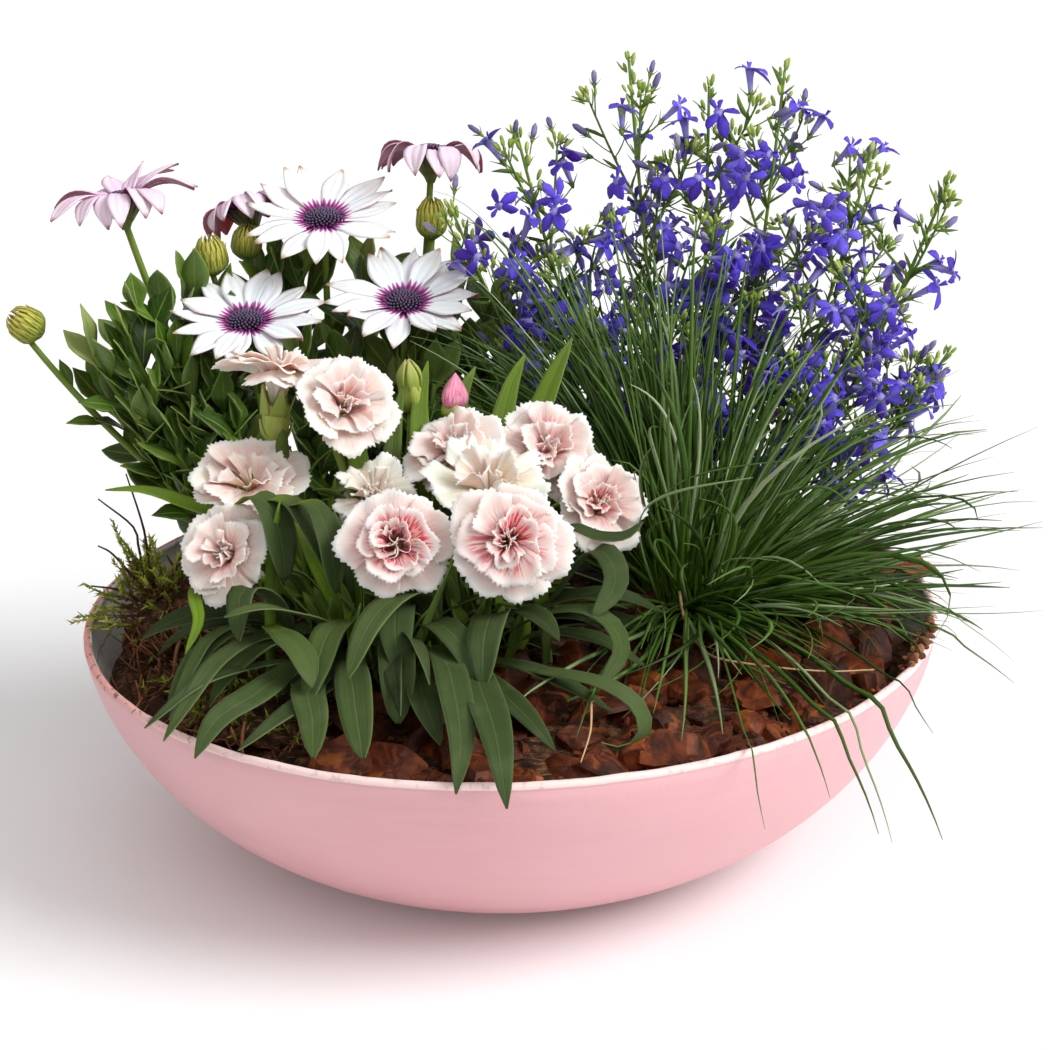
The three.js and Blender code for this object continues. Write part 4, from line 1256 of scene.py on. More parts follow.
def stamens(form, rng, turn, at):
    """Pale filaments in an open throat."""
    for _ in range(9):
        out = level(rng.uniform(0, TAU))
        reach, tall = rng.uniform(1.0, 3.6), rng.uniform(8, 12)
        path = through([out * 0.6, out * reach * 0.5 + [0, 0, tall * 0.6], out * reach + [0, 0, tall]], 6)
        tube(form, path @ turn.T + at, [0.35, 0.32, 0.3, 0.3, 0.55, 0.3], 4, tint=0.0, along=np.full(6, 0.3))


def bloom(index):
    node = numbered("dianthus_flower", index)
    rng = dice(node)
    kind = BLOOMS[index]
    whorls = WHORLS[kind.make]
    facing = unit(kind.faces)
    at = bloom_point(index) - facing * (BLOOM_RISE + MOUTH)
    turn = aim(facing, rng.uniform(0, TAU))
    # The longest petals are as long as it takes for the outermost whorl to be as wide as the flower.
    _, _, start, end, _, _, change = whorls[0]
    reach = np.sin(leaning(start, end, change, np.linspace(0, 1, PETAL_STEPS))).mean()
    longest = (kind.width / 2 - 0.8) / reach
    cupped = 1.8 if kind.make == "rose" else 0.8
    form = Form()
    for whorl, (petals, length, start, end, half_angle, ruffle, change) in enumerate(whorls):
        offset = whorl * np.pi / petals + rng.normal(0, 0.2)
        for i in range(petals):
            first = start + rng.normal(0, 3 + whorl)
            last = end + rng.normal(0, 7 + 2 * whorl)
            lean = leaning(first, last, change, np.linspace(0, PETAL_REACH, PETAL_STEPS))
            grid, edge = frilled_petal(
                rng, longest * length * rng.uniform(0.9 - 0.03 * whorl, 1.04), lean,
                half_angle * rng.uniform(0.86, 1.1), ruffle * kind.width / 46,
                1.5 + rng.normal(0, 0.6 + 0.2 * whorl), rng.uniform(-0.6, 1.4) - cupped * whorl,
                0.17 if whorl == 0 else 0.1)
            swing = turn @ aim(UP, offset + i * TAU / petals + rng.normal(0, 0.1 + 0.05 * whorl))
            lift = at + facing * 0.3 * whorl
            pink = kind.pink * PINK_OF_WHORL[whorl] + rng.normal(0, 0.08)
            frilled_sheet(form, grid @ swing.T + lift, edge @ swing.T + lift, 0.3, np.clip(pink, 0, 1))
    if kind.make != "rose":
        stamens(form, rng, turn, at)
    form.piece(f"{node}_petals", [PINK_PETAL], "dianthus_petal", node)


def bract(form, at, facing, out, stations, half_widths, **looks):
    """A small leaf through stations, each given as how far along an axis it is and how far out from it."""
    route = through([at + facing * along + out * away for along, away in stations], len(half_widths))
    leaf(form, route, half_widths, side=np.cross(facing, out), **looks)


def pointed_bud(form, at, facing, length, width, look=0, lobes=5, depth=0.08, sharp=1.6):
    t = np.linspace(0.02, 0.98, 13)
    radii = width / 2 * np.sin(np.pi * t**0.75) ** 0.8 * (1 - 0.35 * t**sharp)
    grid = turned(radii, (t - 0.5) * length, 30, facing, at, lobes, depth)
    rings(form, grid, [at - facing * length / 2, at + facing * length / 2], look)


def green_bud():
    """The closed bud at the front, with five sepals that meet over it."""
    node = numbered("dianthus_bud", 0)
    low, high = box(node)
    at, facing = middle(node), unit([-0.05, -0.1, 1])
    form = Form()
    pointed_bud(form, at, facing, length=high[2] - low[2], width=12, depth=0.1)
    half_widths = 2.6 * np.sin(np.pi * np.linspace(0.25, 0.97, 7))
    for i in range(5):
        out = aim(facing) @ level(i * TAU / 5)
        bract(form, at, facing, out, [(-1, 4.6), (6, 4.6), (11.5, 1.2)], half_widths, fold=0.1, tint=0.9)
    form.piece(f"{node}_fine", [CALYX, MAGENTA], "bud", node)


def opening_bud():
    """The bud at the right, whose rolled petals stand out of the calyx."""
    node = numbered("dianthus_bud", 1)
    low, high = box(node)
    at, facing = middle(node), unit([0.12, 0.05, 1])
    form = Form()
    length = (high[2] - low[2]) * 0.8
    pointed_bud(form, at + facing * 2, facing, length, width=11.5, look=1, lobes=3, depth=0.16)
    pointed_bud(form, at - facing * 3.5, facing, length=13, width=11, sharp=0.8)
    form.piece(f"{node}_fine", [CALYX, MAGENTA], "bud", node)


Crown = namedtuple("Crown", "at heads buds")

# Where each tuft of leaves stands, and the flowers and buds that grow from it.
CROWNS = {
    "left": Crown((-68, -48), (0, 2, 3), ()),
    "front": Crown((-44, -62), (1, 4, 5), (0,)),
    "right": Crown((-14, -50), (6, 7, 8, 9, 10), (1,)),
}

# The leaves that show most: the full width, the shade (kept low as painted shade for the leaves that lie
# low), how blunt the tip is or None, and the way each runs.
STRAP_LEAVES = {
    "left": [
        (16, 0.72, 0.4, [-60, -60, 104], [-66, -66, 112], [-76, -78, 122], [-88, -88, 130],
         [-98, -95, 133], [-107, -99, 132]),
        (13, 0.66, None, [-92, -84, 122], [-85, -98, 123], [-78, -108, 119], [-74, -118, 110]),
        (13, 0.6, 0.8, [-70, -62, 98], [-72, -92, 104], [-76, -110, 106], [-73, -134, 104],
         [-72, -154, 98]),
        (12, 0.5, None, [-72, -64, 98], [-81, -84, 106], [-95, -118, 108], [-108, -136, 106],
         [-115, -154, 99]),
        (9, 0.6, None, [-74, -60, 98], [-86, -68, 110], [-99, -84, 116], [-111, -100, 114],
         [-120, -120, 107], [-128, -138, 99]),
        (7, 0.62, None, [-84, -52, 98], [-104, -60, 112], [-115, -74, 114], [-121, -92, 110],
         [-128, -118, 99]),
        (5, 1.0, None, [-108, -40, 112], [-119, -54, 128], [-122, -64, 128], [-120, -72, 120],
         [-125, -82, 110]),
        (16, 0.5, 0.6, [-103, -50, 160], [-96, -56, 165], [-90, -62, 160], [-87, -66, 148],
         [-86, -68, 134]),
        (13, 0.36, None, [-94, -54, 163], [-84, -60, 164], [-76, -67, 158], [-70, -70, 146],
         [-66, -72, 134]),
        (12, 0.44, 0.6, [-82, -62, 163], [-74, -70, 166], [-69, -75, 158], [-67, -77, 146],
         [-66, -78, 132]),
        (14, 0.45, None, [-84, -56, 100], [-92, -68, 126], [-101, -76, 134], [-103, -84, 126],
         [-103, -90, 118]),
        (10, 1.0, None, [-92, -26, 104], [-114, -14, 138], [-132, -6, 146], [-148, -2, 150],
         [-163, 2, 149]),
        (8, 0.42, None, [-76, -60, 98], [-94, -84, 106], [-116, -110, 110], [-136, -128, 100]),
        (9, 0.4, None, [-80, -50, 100], [-104, -62, 112], [-120, -84, 110], [-130, -108, 98]),
        (8, 0.95, None, [-90, -20, 104], [-104, -8, 130], [-116, 2, 146], [-124, 8, 160]),
    ],
    "front": [
        (14, 0.7, None, [-50, -66, 106], [-60, -72, 118], [-68, -92, 122], [-73, -108, 112],
         [-77, -118, 101]),
        (13, 0.66, None, [-32, -66, 104], [-34, -78, 130], [-44, -92, 134], [-53, -106, 128],
         [-60, -124, 116]),
        (14, 0.36, None, [-40, -68, 102], [-42, -80, 128], [-43, -98, 124], [-41, -110, 108]),
        (14, 0.42, 1.0, [-42, -72, 100], [-43, -92, 118], [-42, -116, 110], [-42, -130, 100]),
        (14, 0.55, 1.0, [-52, -70, 98], [-60, -90, 109], [-58, -122, 109], [-55, -146, 101],
         [-54, -154, 97]),
        (12, 0.25, None, [-58, -60, 104], [-66, -56, 140], [-70, -60, 154], [-66, -70, 150],
         [-64, -78, 136]),
        (12, 0.3, None, [-40, -74, 100], [-36, -100, 108], [-32, -126, 106], [-26, -146, 98]),
        (9, 0.9, None, [-50, -56, 104], [-56, -30, 150], [-60, -10, 172], [-62, 8, 180]),
        (8, 0.85, None, [-46, -52, 104], [-46, -30, 150], [-44, -14, 176], [-40, -4, 192]),
        (10, 0.35, None, [-52, -70, 100], [-70, -104, 104], [-88, -134, 103], [-100, -146, 98]),
        (12, 0.4, None, [-40, -70, 100], [-30, -86, 122], [-18, -104, 120], [-10, -122, 106]),
    ],
    "right": [
        (13, 0.42, 0.3, [-22, -62, 100], [-27, -86, 112], [-22, -122, 116], [-18, -162, 108],
         [-20, -180, 94]),
        (14, 0.4, 0.3, [-14, -62, 100], [-16, -86, 110], [-11, -126, 112], [-5, -166, 109],
         [-2, -189, 92]),
        (15, 0.42, 0.6, [-8, -60, 100], [-6, -84, 124], [-9, -108, 124], [-10, -124, 110]),
        (10, 0.6, None, [-8, -58, 102], [12, -74, 119], [28, -84, 125], [39, -93, 122], [42, -100, 114],
         [37, -107, 108], [32, -113, 103]),
        (9, 0.62, None, [-4, -72, 98], [11, -100, 107], [33, -120, 110], [46, -129, 105], [49, -137, 97],
         [42, -139, 91], [33, -139, 94]),
        (12, 0.45, None, [8, -50, 102], [30, -62, 138], [38, -70, 142], [41, -80, 134], [31, -92, 124]),
        (9, 0.42, None, [-6, -60, 100], [14, -70, 110], [34, -82, 112], [52, -92, 104]),
        (9, 0.45, None, [-4, -52, 102], [20, -60, 120], [42, -66, 124], [60, -66, 116]),
        (12, 0.92, None, [-10, -44, 104], [4, -20, 156], [18, -2, 188], [28, 8, 206]),
        (10, 0.9, None, [-14, -44, 104], [-6, -18, 156], [2, 0, 186], [9, 8, 200]),
        (10, 0.86, None, [-22, -44, 104], [-22, -18, 152], [-18, 0, 182], [-11, 6, 196]),
        (9, 0.9, None, [-28, -46, 104], [-32, -24, 150], [-34, -6, 180], [-30, 2, 200]),
        (6, 0.3, None, [16, -66, 150], [25, -79, 157], [35, -82, 154], [45, -82, 154], [52, -78, 158]),
        (10, 0.35, None, [-20, -66, 98], [-8, -100, 103], [6, -134, 103], [16, -150, 96]),
        (9, 0.5, None, [-16, -64, 98], [4, -92, 106], [22, -108, 104], [38, -118, 97]),
    ],
}


ARCHING_LEAVES, YOUNG_LEAVES = 15, 40  # in each tuft, besides the ones above


def strap_outline(count, blunt=0.0):
    t = np.linspace(0, 1, count)
    end = np.clip((t - 0.6) / 0.4, 0, 1)
    return (0.44 + 0.56 * smooth(0, 0.55, t)) * np.clip(1 - end**2, 0.02, 1) ** (0.85 - 0.35 * blunt)


def arching_leaf(form, rng, crown, angle, length, lift, wide, tint):
    """A leaf that leaves the crown steeply, arches and hangs."""
    lean = np.radians(np.linspace(90 - lift, 90 - lift + rng.uniform(70, 125), 15))
    out, rise = unrolled(lean, length / 14)
    heading = level(angle)
    side = np.cross(UP, heading)
    sway = side * rng.normal(0, 0.12)
    foot = [*crown, 95] + heading * 6
    path = foot + np.outer(out, heading) + np.outer(rise, UP) + np.outer(out**1.5 / 8, sway)
    path[:, 2] = np.maximum(path[:, 2], soil_height(np.hypot(path[:, 0], path[:, 1])) + 3)
    leaf(form, path, wide / 2 * strap_outline(15), fold=0.22, side=side, twist=rng.normal(0, 0.5),
         ripple=0.06, tint=tint, phase=rng.uniform(0, TAU))


def stem_leaves(form, rng, at, ahead):
    """A pair of small leaves on opposite sides of a stem, left out where they would cover a flower."""
    turn = aim(ahead, rng.uniform(0, TAU))
    for way in (-1, 1):
        out = turn[:, 0] * way
        length = rng.uniform(18, 36)
        route = through([at, at + out * length * 0.3 + ahead * length * 0.5,
                         at + out * length * 0.75 + ahead * length * 0.8], 9)
        wide = rng.uniform(1.8, 3.0)
        if not covers_bloom(route[4:]):
            leaf(form, route, wide * strap_outline(9), fold=0.35, side=np.cross(ahead, out),
                 tint=rng.uniform(0.85, 1.0))


def head_stem(form, rng, crown, index):
    """The stem, its pairs of small leaves, and the calyx that holds the bloom."""
    kind = BLOOMS[index]
    facing = unit(kind.faces)
    head = bloom_point(index) - facing * BLOOM_RISE
    foot = np.array([*crown, 92])
    neck = head - facing * kind.tall - [0, 0, 4]
    path = bowed(foot, neck, (head - foot) * [-0.2, -0.2, 0] + [0, 0, 8], 12)
    knots = 1 + 0.22 * np.exp(-((np.arange(12) % 4 - 2.0) ** 2))
    tube(form, path, np.linspace(2.1, 1.5, 12) * knots, 8, look=1, tint=rng.uniform(0.55, 1.0))
    for i in (3, 7, 9):
        stem_leaves(form, rng, path[i], unit(path[i + 1] - path[i]))
    mouth = head - facing * MOUTH
    wide = kind.calyx
    cup = through([neck, neck + facing * 8 + [0, 0, 1.5], mouth + facing * 0.5], 9)
    tube(form, cup, wide * np.array([0.4, 0.72, 0.9, 0.97, 1.0, 1.0, 1.0, 1.0, 1.02]), 20, look=2)
    turn = aim(facing, rng.uniform(0, TAU))
    teeth = [(-4, wide * 0.94), (0, wide * 1.06), (8, wide * 1.4)]
    for i in range(5):
        bract(form, mouth, facing, turn @ level(i * TAU / 5), teeth,
              wide * np.array([0.56, 0.56, 0.46, 0.32, 0.16, 0.03]), fold=0.05, look=2, tint=0.6)
    scales = [(0, 1.4), (3, wide * 0.9), (9, wide * 1.25)]
    for i in range(4):
        bract(form, neck, facing, turn @ level(i * TAU / 4), scales, [1.7, 2.7, 2.7, 2.1, 1.1, 0.2],
              fold=0.05, look=2, tint=0.3)


def dianthus_tuft(side):
    node = f"dianthus_leaves_{side}"
    rng = dice(node)
    crown = CROWNS[side].at
    form = Form()
    for wide, tint, blunt, *way in STRAP_LEAVES[side]:
        path = through(way, 19)
        across = unit(np.cross(UP, path[9] - path[0]))
        usual = rng.uniform(0, 0.4)
        outline = strap_outline(19, usual if blunt is None else blunt)
        leaf(form, path, wide / 2 * outline, columns=7, fold=0.14, side=across, twist=rng.normal(0, 0.2),
             ripple=0.03, tint=tint + rng.normal(0, 0.03), phase=rng.uniform(0, TAU))
    for _ in range(ARCHING_LEAVES):
        arching_leaf(form, rng, crown, rng.uniform(0, TAU), rng.uniform(45, 80), rng.uniform(30, 75),
                     rng.uniform(8, 13), np.clip(rng.normal(0.3, 0.18), 0, 0.9))
    # Young upright leaves: short ones in front, and longer ones behind the blooms.
    grown = 0
    while grown < YOUNG_LEAVES:
        foot = np.array([*(crown + rng.normal(0, 14, 2)), 94])
        back = rng.uniform(-0.5, 0.4)
        lean = unit([rng.normal(0, 0.3), back, 1])
        length = rng.uniform(40, 78) if back > 0.1 else rng.uniform(20, 44)
        path = bowed(foot, foot + lean * length, rng.normal(0, 3, 3), 9)
        if covers_bloom(path):
            continue
        leaf(form, path, rng.uniform(1.9, 4.0) * strap_outline(9), fold=0.35, side=rng.normal(size=3),
             twist=rng.normal(0, 0.6), tint=rng.uniform(0.84, 1.0))
        grown += 1
    for index in CROWNS[side].heads:
        head_stem(form, rng, crown, index)
    for index in CROWNS[side].buds:
        stem = bowed([*crown, 94], underside(numbered("dianthus_bud", index), 1), [0, 6, 0], 12)
        tube(form, stem, np.linspace(2.0, 1.5, 12), 8, look=1, tint=0.6)
    form.piece(f"{node}_fine", [STRAP_LEAF, STEM, CALYX], "dianthus_leaf", node)


# ---- Osteospermum --------------------------------------------------------------------------------

Daisy = namedtuple("Daisy", "petals length pink faces rise droop above")

# Each flower: its petals, how long and how pink they are, the way it faces, how far they rise at the foot
# and at the tip in degrees, each with what the back ones add, and the middle of its box above its own.
DAISIES = [
    Daisy(15, 30, 0.0, (0, -0.28, 0.96), (15, 8), (4, 14), 4.6),
    Daisy(15, 29, 0.0, (0, -0.28, 0.96), (14, 6), (3, 10), 4.0),
    Daisy(16, 28.5, 0.0, (0.05, -0.36, 0.93), (15, 3), (3, 4), 3.6),
    Daisy(15, 31, 0.8, (-0.1, 0.42, 0.9), (30, 22), (-26, 62), -0.5),
    Daisy(12, 23, 0.75, (-0.35, 0.45, 0.82), (36, 6), (-84, 14), 0.0),
    Daisy(12, 28, 0.75, (0.0, 0.44, 0.9), (30, 20), (-70, 24), -8.0),
]
DISC_RADIUS = 7.6
DISC_FLORETS = 120
CALYX_BRACTS = 15
PETAL_FOOT = 4.5  # how far from the axis a petal starts


def daisy_point(index):
    return middle(numbered("osteospermum_flower", index)) - unit(DAISIES[index].faces) * DAISIES[index].above


def ray_petal(rng, length, rise, droop, width, twist):
    """A broad pointed petal with two grooves and an uneven tip, round +Z and pointing along +X."""
    s = np.linspace(0, 1, 12)
    v = np.linspace(-1, 1, 9)
    end = np.clip((s - 0.58) / 0.42, 0, 1)
    half = width / 2 * (0.34 + 0.66 * smooth(0, 0.62, s)) * np.clip(1 - end**1.5, 0.03, 1) ** 0.9
    pitch = np.radians(rise + (droop - rise) * smooth(0.02, 0.85, s))
    z, out = unrolled(pitch, length / 11)
    side = half[:, None] * v
    groove = 0.3 * np.cos(3 * np.pi * v) * (smooth(0, 0.3, s) * half / width * 2)[:, None]
    cup = rng.uniform(-0.05, 0.22) * side * v
    curled = rng.normal(0, 0.7) * smooth(0.55, 1.0, s)[:, None]
    curl = curled * (1 + 0.8 * np.sin(2.4 * v + rng.uniform(0, TAU)))
    turned_by = twist * s[:, None]
    lift = groove + cup + curl + side * np.sin(turned_by)
    across = side * np.cos(turned_by) + rng.normal(0, 0.03) * out[:, None] ** 1.4
    along = PETAL_FOOT + out[:, None] - np.sin(pitch)[:, None] * lift
    return np.stack([along, across, z[:, None] + np.cos(pitch)[:, None] * lift], axis=-1)


def disc(form, turn, at, rng, look):
    """A low dome of closed florets, with a ring of open ones standing round it."""
    for i in range(DISC_FLORETS):
        share = (i + 0.5) / DISC_FLORETS
        out = level(i * GOLDEN_ANGLE)
        foot = out * DISC_RADIUS * share**0.5 + [0, 0, 2.8 * (1 - share**1.4) - 0.4]
        lean = unit(out * share * 1.1 + UP)
        inner = share < 0.75
        tall = 2.0 if inner else rng.uniform(2.2, 3.6)
        fat = 0.66 if inner else 0.46
        path = np.array([foot, foot + lean * tall * 0.6, foot + lean * tall])
        tint = rng.uniform(0, 0.7) if inner else rng.uniform(0.5, 1.0)
        tube(form, path @ turn.T + at, [fat * 0.8, fat, fat * 0.45], 5, look, tint)


def daisy(index):
    node = numbered("osteospermum_flower", index)
    rng = dice(node)
    kind = DAISIES[index]
    facing = unit(kind.faces)
    at = daisy_point(index)
    turn = aim(facing)
    loose = 1 + 1.2 * kind.pink
    form = Form()
    offset = rng.uniform(0, TAU)
    for i in range(kind.petals):
        roll = offset + i * TAU / kind.petals + rng.normal(0, 0.05)
        back = (turn @ level(roll))[1]
        rise = kind.rise[0] + kind.rise[1] * back + rng.normal(0, 3 * loose)
        droop = kind.droop[0] + kind.droop[1] * back + rng.normal(0, 6 * loose)
        twist = rng.normal(0, 0.1 + 0.35 * kind.pink)
        length = kind.length * rng.uniform(0.91 - 0.08 * kind.pink, 1.04)
        grid = ray_petal(rng, length, rise, droop, rng.uniform(10.2, 12.4), twist)
        grid = grid @ aim(UP, roll).T + [0, 0, 0.35 * (-1) ** i]
        shell(form, grid @ turn.T + at, 0.32, 0, np.clip(kind.pink + rng.normal(0, 0.04), 0, 1))
    disc(form, turn, at, rng, 1)
    radii, heights = [1.7, 2.4, 4.2, 6.6, 7.7, 7.0], [-12.4, -10.6, -7.0, -3.6, -1.4, -0.5]
    cup = turned(radii, heights, 52, facing, at, lobes=13, depth=0.05)
    rings(form, cup, [at - facing * 12.6, at - facing * 0.3], look=2)
    for i in range(CALYX_BRACTS):
        out = turn @ level(i * TAU / CALYX_BRACTS)
        bract(form, at, facing, out, [(-9, 3.2), (-3.4, 7.1), (0.2, 9.0)],
              [0.7, 1.0, 1.0, 0.8, 0.5, 0.15], columns=3, fold=0.1, look=2)
    form.piece(f"{node}_fine", [DAISY_PETAL, DAISY_DISC, DAISY_CALYX], "daisy_petal", node)


# Each bud: its shade, and the way it faces.
DAISY_BUDS = [(0.95, (-0.75, -0.2, 0.6)), (0.75, (-0.1, -0.1, 1)), (0.45, (0.15, 0, 1)),
              (0.85, (0.05, -0.1, 1))]
BUD_BRACTS = 16


def daisy_bud(index):
    """Two layers of narrow bracts that close over the unopened petals, their tips free."""
    node = numbered("osteospermum_bud", index)
    rng = dice(node)
    low, high = box(node)
    at = middle(node)
    wide, _, tall = high - low
    tint, faces = DAISY_BUDS[index]
    facing = unit(faces)
    turn = aim(facing)
    t = np.linspace(0.04, 0.9, 12)
    radii = wide / 2 * 0.88 * np.clip(np.sin(np.pi * t**0.85), 0.02, 1) ** 0.7
    form = Form()
    grid = turned(radii, (t - 0.5) * tall, 40, facing, at)
    rings(form, grid, [at - facing * tall / 2, at + facing * tall * 0.42], tint=tint * 0.4)
    half_widths = wide * 0.105 * np.array([0.7, 1.0, 1.1, 1.1, 1.0, 0.85, 0.65, 0.4, 0.12])
    for layer, top in enumerate((0.58, 0.34)):
        swell = wide / 2 + 0.35 * layer
        for i in range(BUD_BRACTS):
            out = turn @ level((i + 0.5 * layer) * TAU / BUD_BRACTS)
            tip = swell * (0.42 + 0.5 * layer) + rng.uniform(-0.5, 1.2)
            stations = [(-0.47 * tall, 1.4), (-0.22 * tall, swell * 0.93), (0.1 * tall, swell),
                        (0.75 * top * tall, swell * (0.78 + 0.2 * layer)), (top * tall, tip)]
            bract(form, at, facing, out, stations, half_widths, columns=3, fold=-0.25, thickness=0.4,
                  tint=np.clip(tint + rng.normal(0, 0.1), 0, 1))
    form.piece(f"{node}_fine", [BUD_SKIN], "bud", node)


Branch = namedtuple("Branch", "base heads buds shoots")

# Where each branch starts, its flowers and buds, and the tips of its leafy shoots.
BRANCHES = {
    "left": Branch((-98, 62), (3,), (0,), [
        [-180, 66, 196], [-167, 64, 192], [-164, 66, 204], [-158, 72, 214], [-149, 78, 212], [-157, 56, 176],
        [-162, 52, 164], [-141, 60, 196], [-170, 88, 190], [-182, 84, 172]]),
    "back": Branch((-76, 84), (0, 4), (1, 2), [
        [-137, 85, 220], [-122, 85, 208], [-108, 100, 220], [-97, 105, 222], [-87, 105, 218],
        [-128, 70, 194], [-140, 112, 196], [-118, 128, 190], [-96, 132, 196], [-150, 120, 172]]),
    "middle": Branch((-86, 44), (1,), (), [
        [-148, 60, 188], [-140, 58, 180], [-147, 50, 157], [-154, 48, 144], [-137, 52, 160], [-126, 60, 180],
        [-132, 56, 166], [-117, 52, 168], [-139, 45, 142], [-108, 44, 150], [-86, 70, 192], [-104, 34, 136],
        [-78, 52, 158], [-64, 56, 148]]),
    "right": Branch((-48, 68), (2, 5), (3,), [
        [-73, 70, 192], [-60, 100, 222], [-27, 60, 184], [-20, 90, 198], [-10, 90, 186], [7, 100, 190],
        [25, 110, 190], [42, 112, 178], [-13, 110, 214], [-1, 110, 200], [-60, 128, 190], [-30, 132, 186],
        [8, 126, 176], [-46, 76, 196], [-50, 60, 150], [-34, 62, 158], [-20, 66, 146], [-46, 70, 172],
        [-62, 66, 168], [-8, 72, 162]]),
}


def obovate(count, blunt, point):
    """The half widths of a leaf that is broadest past its middle."""
    t = np.linspace(0, 1, count)
    past = np.maximum(0, t - blunt) / (1 - blunt)
    return (0.14 + 0.86 * smooth(0, blunt, t)) * np.clip(1 - past**1.9, 0.02, 1) ** point


def broad_leaf(form, rng, foot, heading, length, wide, tint):
    """A flat pointed leaf that narrows to its foot, turned up to the light from the front."""
    heading = unit(heading)
    side = unit(np.cross(UP, heading))
    over = unit(np.cross(heading, side) + [0.1, -0.6, 0.35] + rng.normal(0, 0.34, 3))
    side = unit(np.cross(over, heading))
    over = np.cross(heading, side)
    bend = rng.uniform(-0.15, 0.28) * length
    path = through([foot, foot + heading * length * 0.5 + over * bend * 0.22,
                    foot + heading * length - over * bend * 0.35], 10)
    outline = obovate(10, rng.uniform(0.5, 0.62), rng.uniform(0.95, 1.4))
    leaf(form, path, wide / 2 * outline, fold=rng.uniform(0.04, 0.2), side=side, twist=rng.normal(0, 0.2),
         ripple=0.05, tint=tint, phase=rng.uniform(0, TAU))


def shoot(form, rng, foot, tip, leaves):
    """A leafy shoot: leaves spiral up it and crowd at its end."""
    path = bowed(foot, tip, (tip - foot) * [0.12, 0.12, 0] - [0, 0, 8], 10)
    tube(form, path, np.linspace(1.9, 1.0, 10), 6, look=1, tint=rng.uniform(0.15, 0.4))
    spine = evenly(path, 60)
    ahead = unit(unit(spine[-1] - spine[-8]) + [0, 0, 0.5])
    turn = aim(ahead, rng.uniform(0, TAU))
    for i in range(leaves):
        down = i / leaves
        at = spine[int((1 - down**1.2 * 0.5) * 59)]
        opening = 0.3 + 0.75 * smooth(0, 0.6, down) + rng.normal(0, 0.12)
        out = turn @ level(i * GOLDEN_ANGLE)
        heading = np.cos(opening) * ahead + np.sin(opening) * out + [0, 0, 0.15]
        grown = smooth(-0.6, 0.25, down)
        tint = np.clip(rng.normal(0.36, 0.25) + 0.3 * (i < 2), 0, 1)
        length, wide = rng.uniform(21, 29) * grown + 1, rng.uniform(9.6, 13) * grown + 0.5
        broad_leaf(form, rng, at, heading, length, wide, tint)


def daisy_branch(side):
    node = f"osteospermum_branch_{side}"
    rng = dice(node)
    branch = BRANCHES[side]
    base = np.array([*branch.base, 92])
    form = Form()
    heads = [(daisy_point(index) - 10 * unit(DAISIES[index].faces), 1.7) for index in branch.heads]
    buds = [(underside(numbered("osteospermum_bud", index), 1), 1.5) for index in branch.buds]
    for end, radius in heads + buds:
        path = bowed(base, end, (end - base) * [0.1, 0.1, 0] - [0, 0, 8], 16)
        tube(form, path, radius * np.linspace(1.25, 0.85, 16), 8, look=1, tint=rng.uniform(0.2, 0.5))
        for i in (8, 10, 12):
            heading = rng.normal(size=3) + [0, 0, 1]
            broad_leaf(form, rng, path[i], heading, rng.uniform(14, 20), rng.uniform(5, 7),
                       rng.uniform(0.3, 0.7))
    for tip in np.array(branch.shoots, float):
        foot = base + [rng.normal(0, 5), rng.normal(0, 5), 0]
        shoot(form, rng, foot, tip - unit(tip - foot) * 12, rng.integers(7, 10))
    form.piece(f"{node}_fine", [DAISY_LEAF, STEM], "daisy_leaf", node)


# ---- Grass ---------------------------------------------------------------------------------------

# The tips of the blades that reach furthest, as in the frame.
GRASS_TIPS = np.array([
    [-28, 60, 256], [-2, 48, 230], [-16, 30, 200], [16, -14, 172], [40, 30, 222], [58, 30, 240],
    [82, 20, 258], [104, 10, 248], [127, 0, 226], [150, -6, 198], [176, 4, 184], [196, 10, 162],
    [217, 0, 134], [198, -22, 134], [200, -52, 76], [158, -150, 56], [114, -170, 84], [90, -178, 76],
    [132, -168, 68], [48, -112, 100], [62, -148, 98], [24, -138, 96], [186, -44, 100], [170, -84, 104],
], float)

Sheaf = namedtuple("Sheaf", "count around lean length width")

# The other blades: how many, the way they lean round the tuft, how far in degrees, and their size.
SHEAVES = [
    Sheaf(230, (0, 360), (0, 82), (90, 166), (1.5, 2.9)),
    Sheaf(80, (70, 300), (4, 78), (90, 160), (1.4, 2.6)),
    Sheaf(200, (84, 184), (4, 60), (140, 196), (1.4, 2.7)),
    Sheaf(20, (-30, 60), (30, 76), (110, 168), (1.6, 2.8)),
    Sheaf(46, (-80, 8), (62, 84), (76, 118), (1.5, 2.8)),
]

BLADE_POINTS = 40
SHORTER_BLADES = 5  # beside each that reaches furthest, or one where it hangs over the lip

# Pale dead stalks: the width of each and the way it runs.
DRY_STALKS = [
    (1.3, [[68, -34, 112], [69, -46, 106], [72, -62, 103], [78, -78, 102], [90, -86, 102], [107, -88, 100],
           [124, -87, 98], [140, -84, 97]]),
    (1.2, [[31, -112, 99], [30, -124, 103], [29, -140, 99], [25, -154, 93]]),
]


def arching(rng, foot, end):
    """The path of a blade that leaves its foot steeply, arches and hangs if its tip is low."""
    climb = max(end[2] - foot[2], 30)
    shoulder = mix(foot, end, 0.3)
    shoulder[2] = foot[2] + climb * 0.55
    crest = mix(foot, end, 0.7)
    crest[2] = max(end[2] + 4, foot[2] + climb * 0.6)
    sway = rng.normal(0, 0.04) * np.linalg.norm(end - foot) * unit(np.cross(end - foot, UP))
    t = np.linspace(0, 1, BLADE_POINTS)[:, None]
    rest = 1 - t
    return (rest**3 * foot + 3 * rest**2 * t * (shoulder + sway)
            + 3 * rest * t**2 * (crest - sway) + t**3 * end)


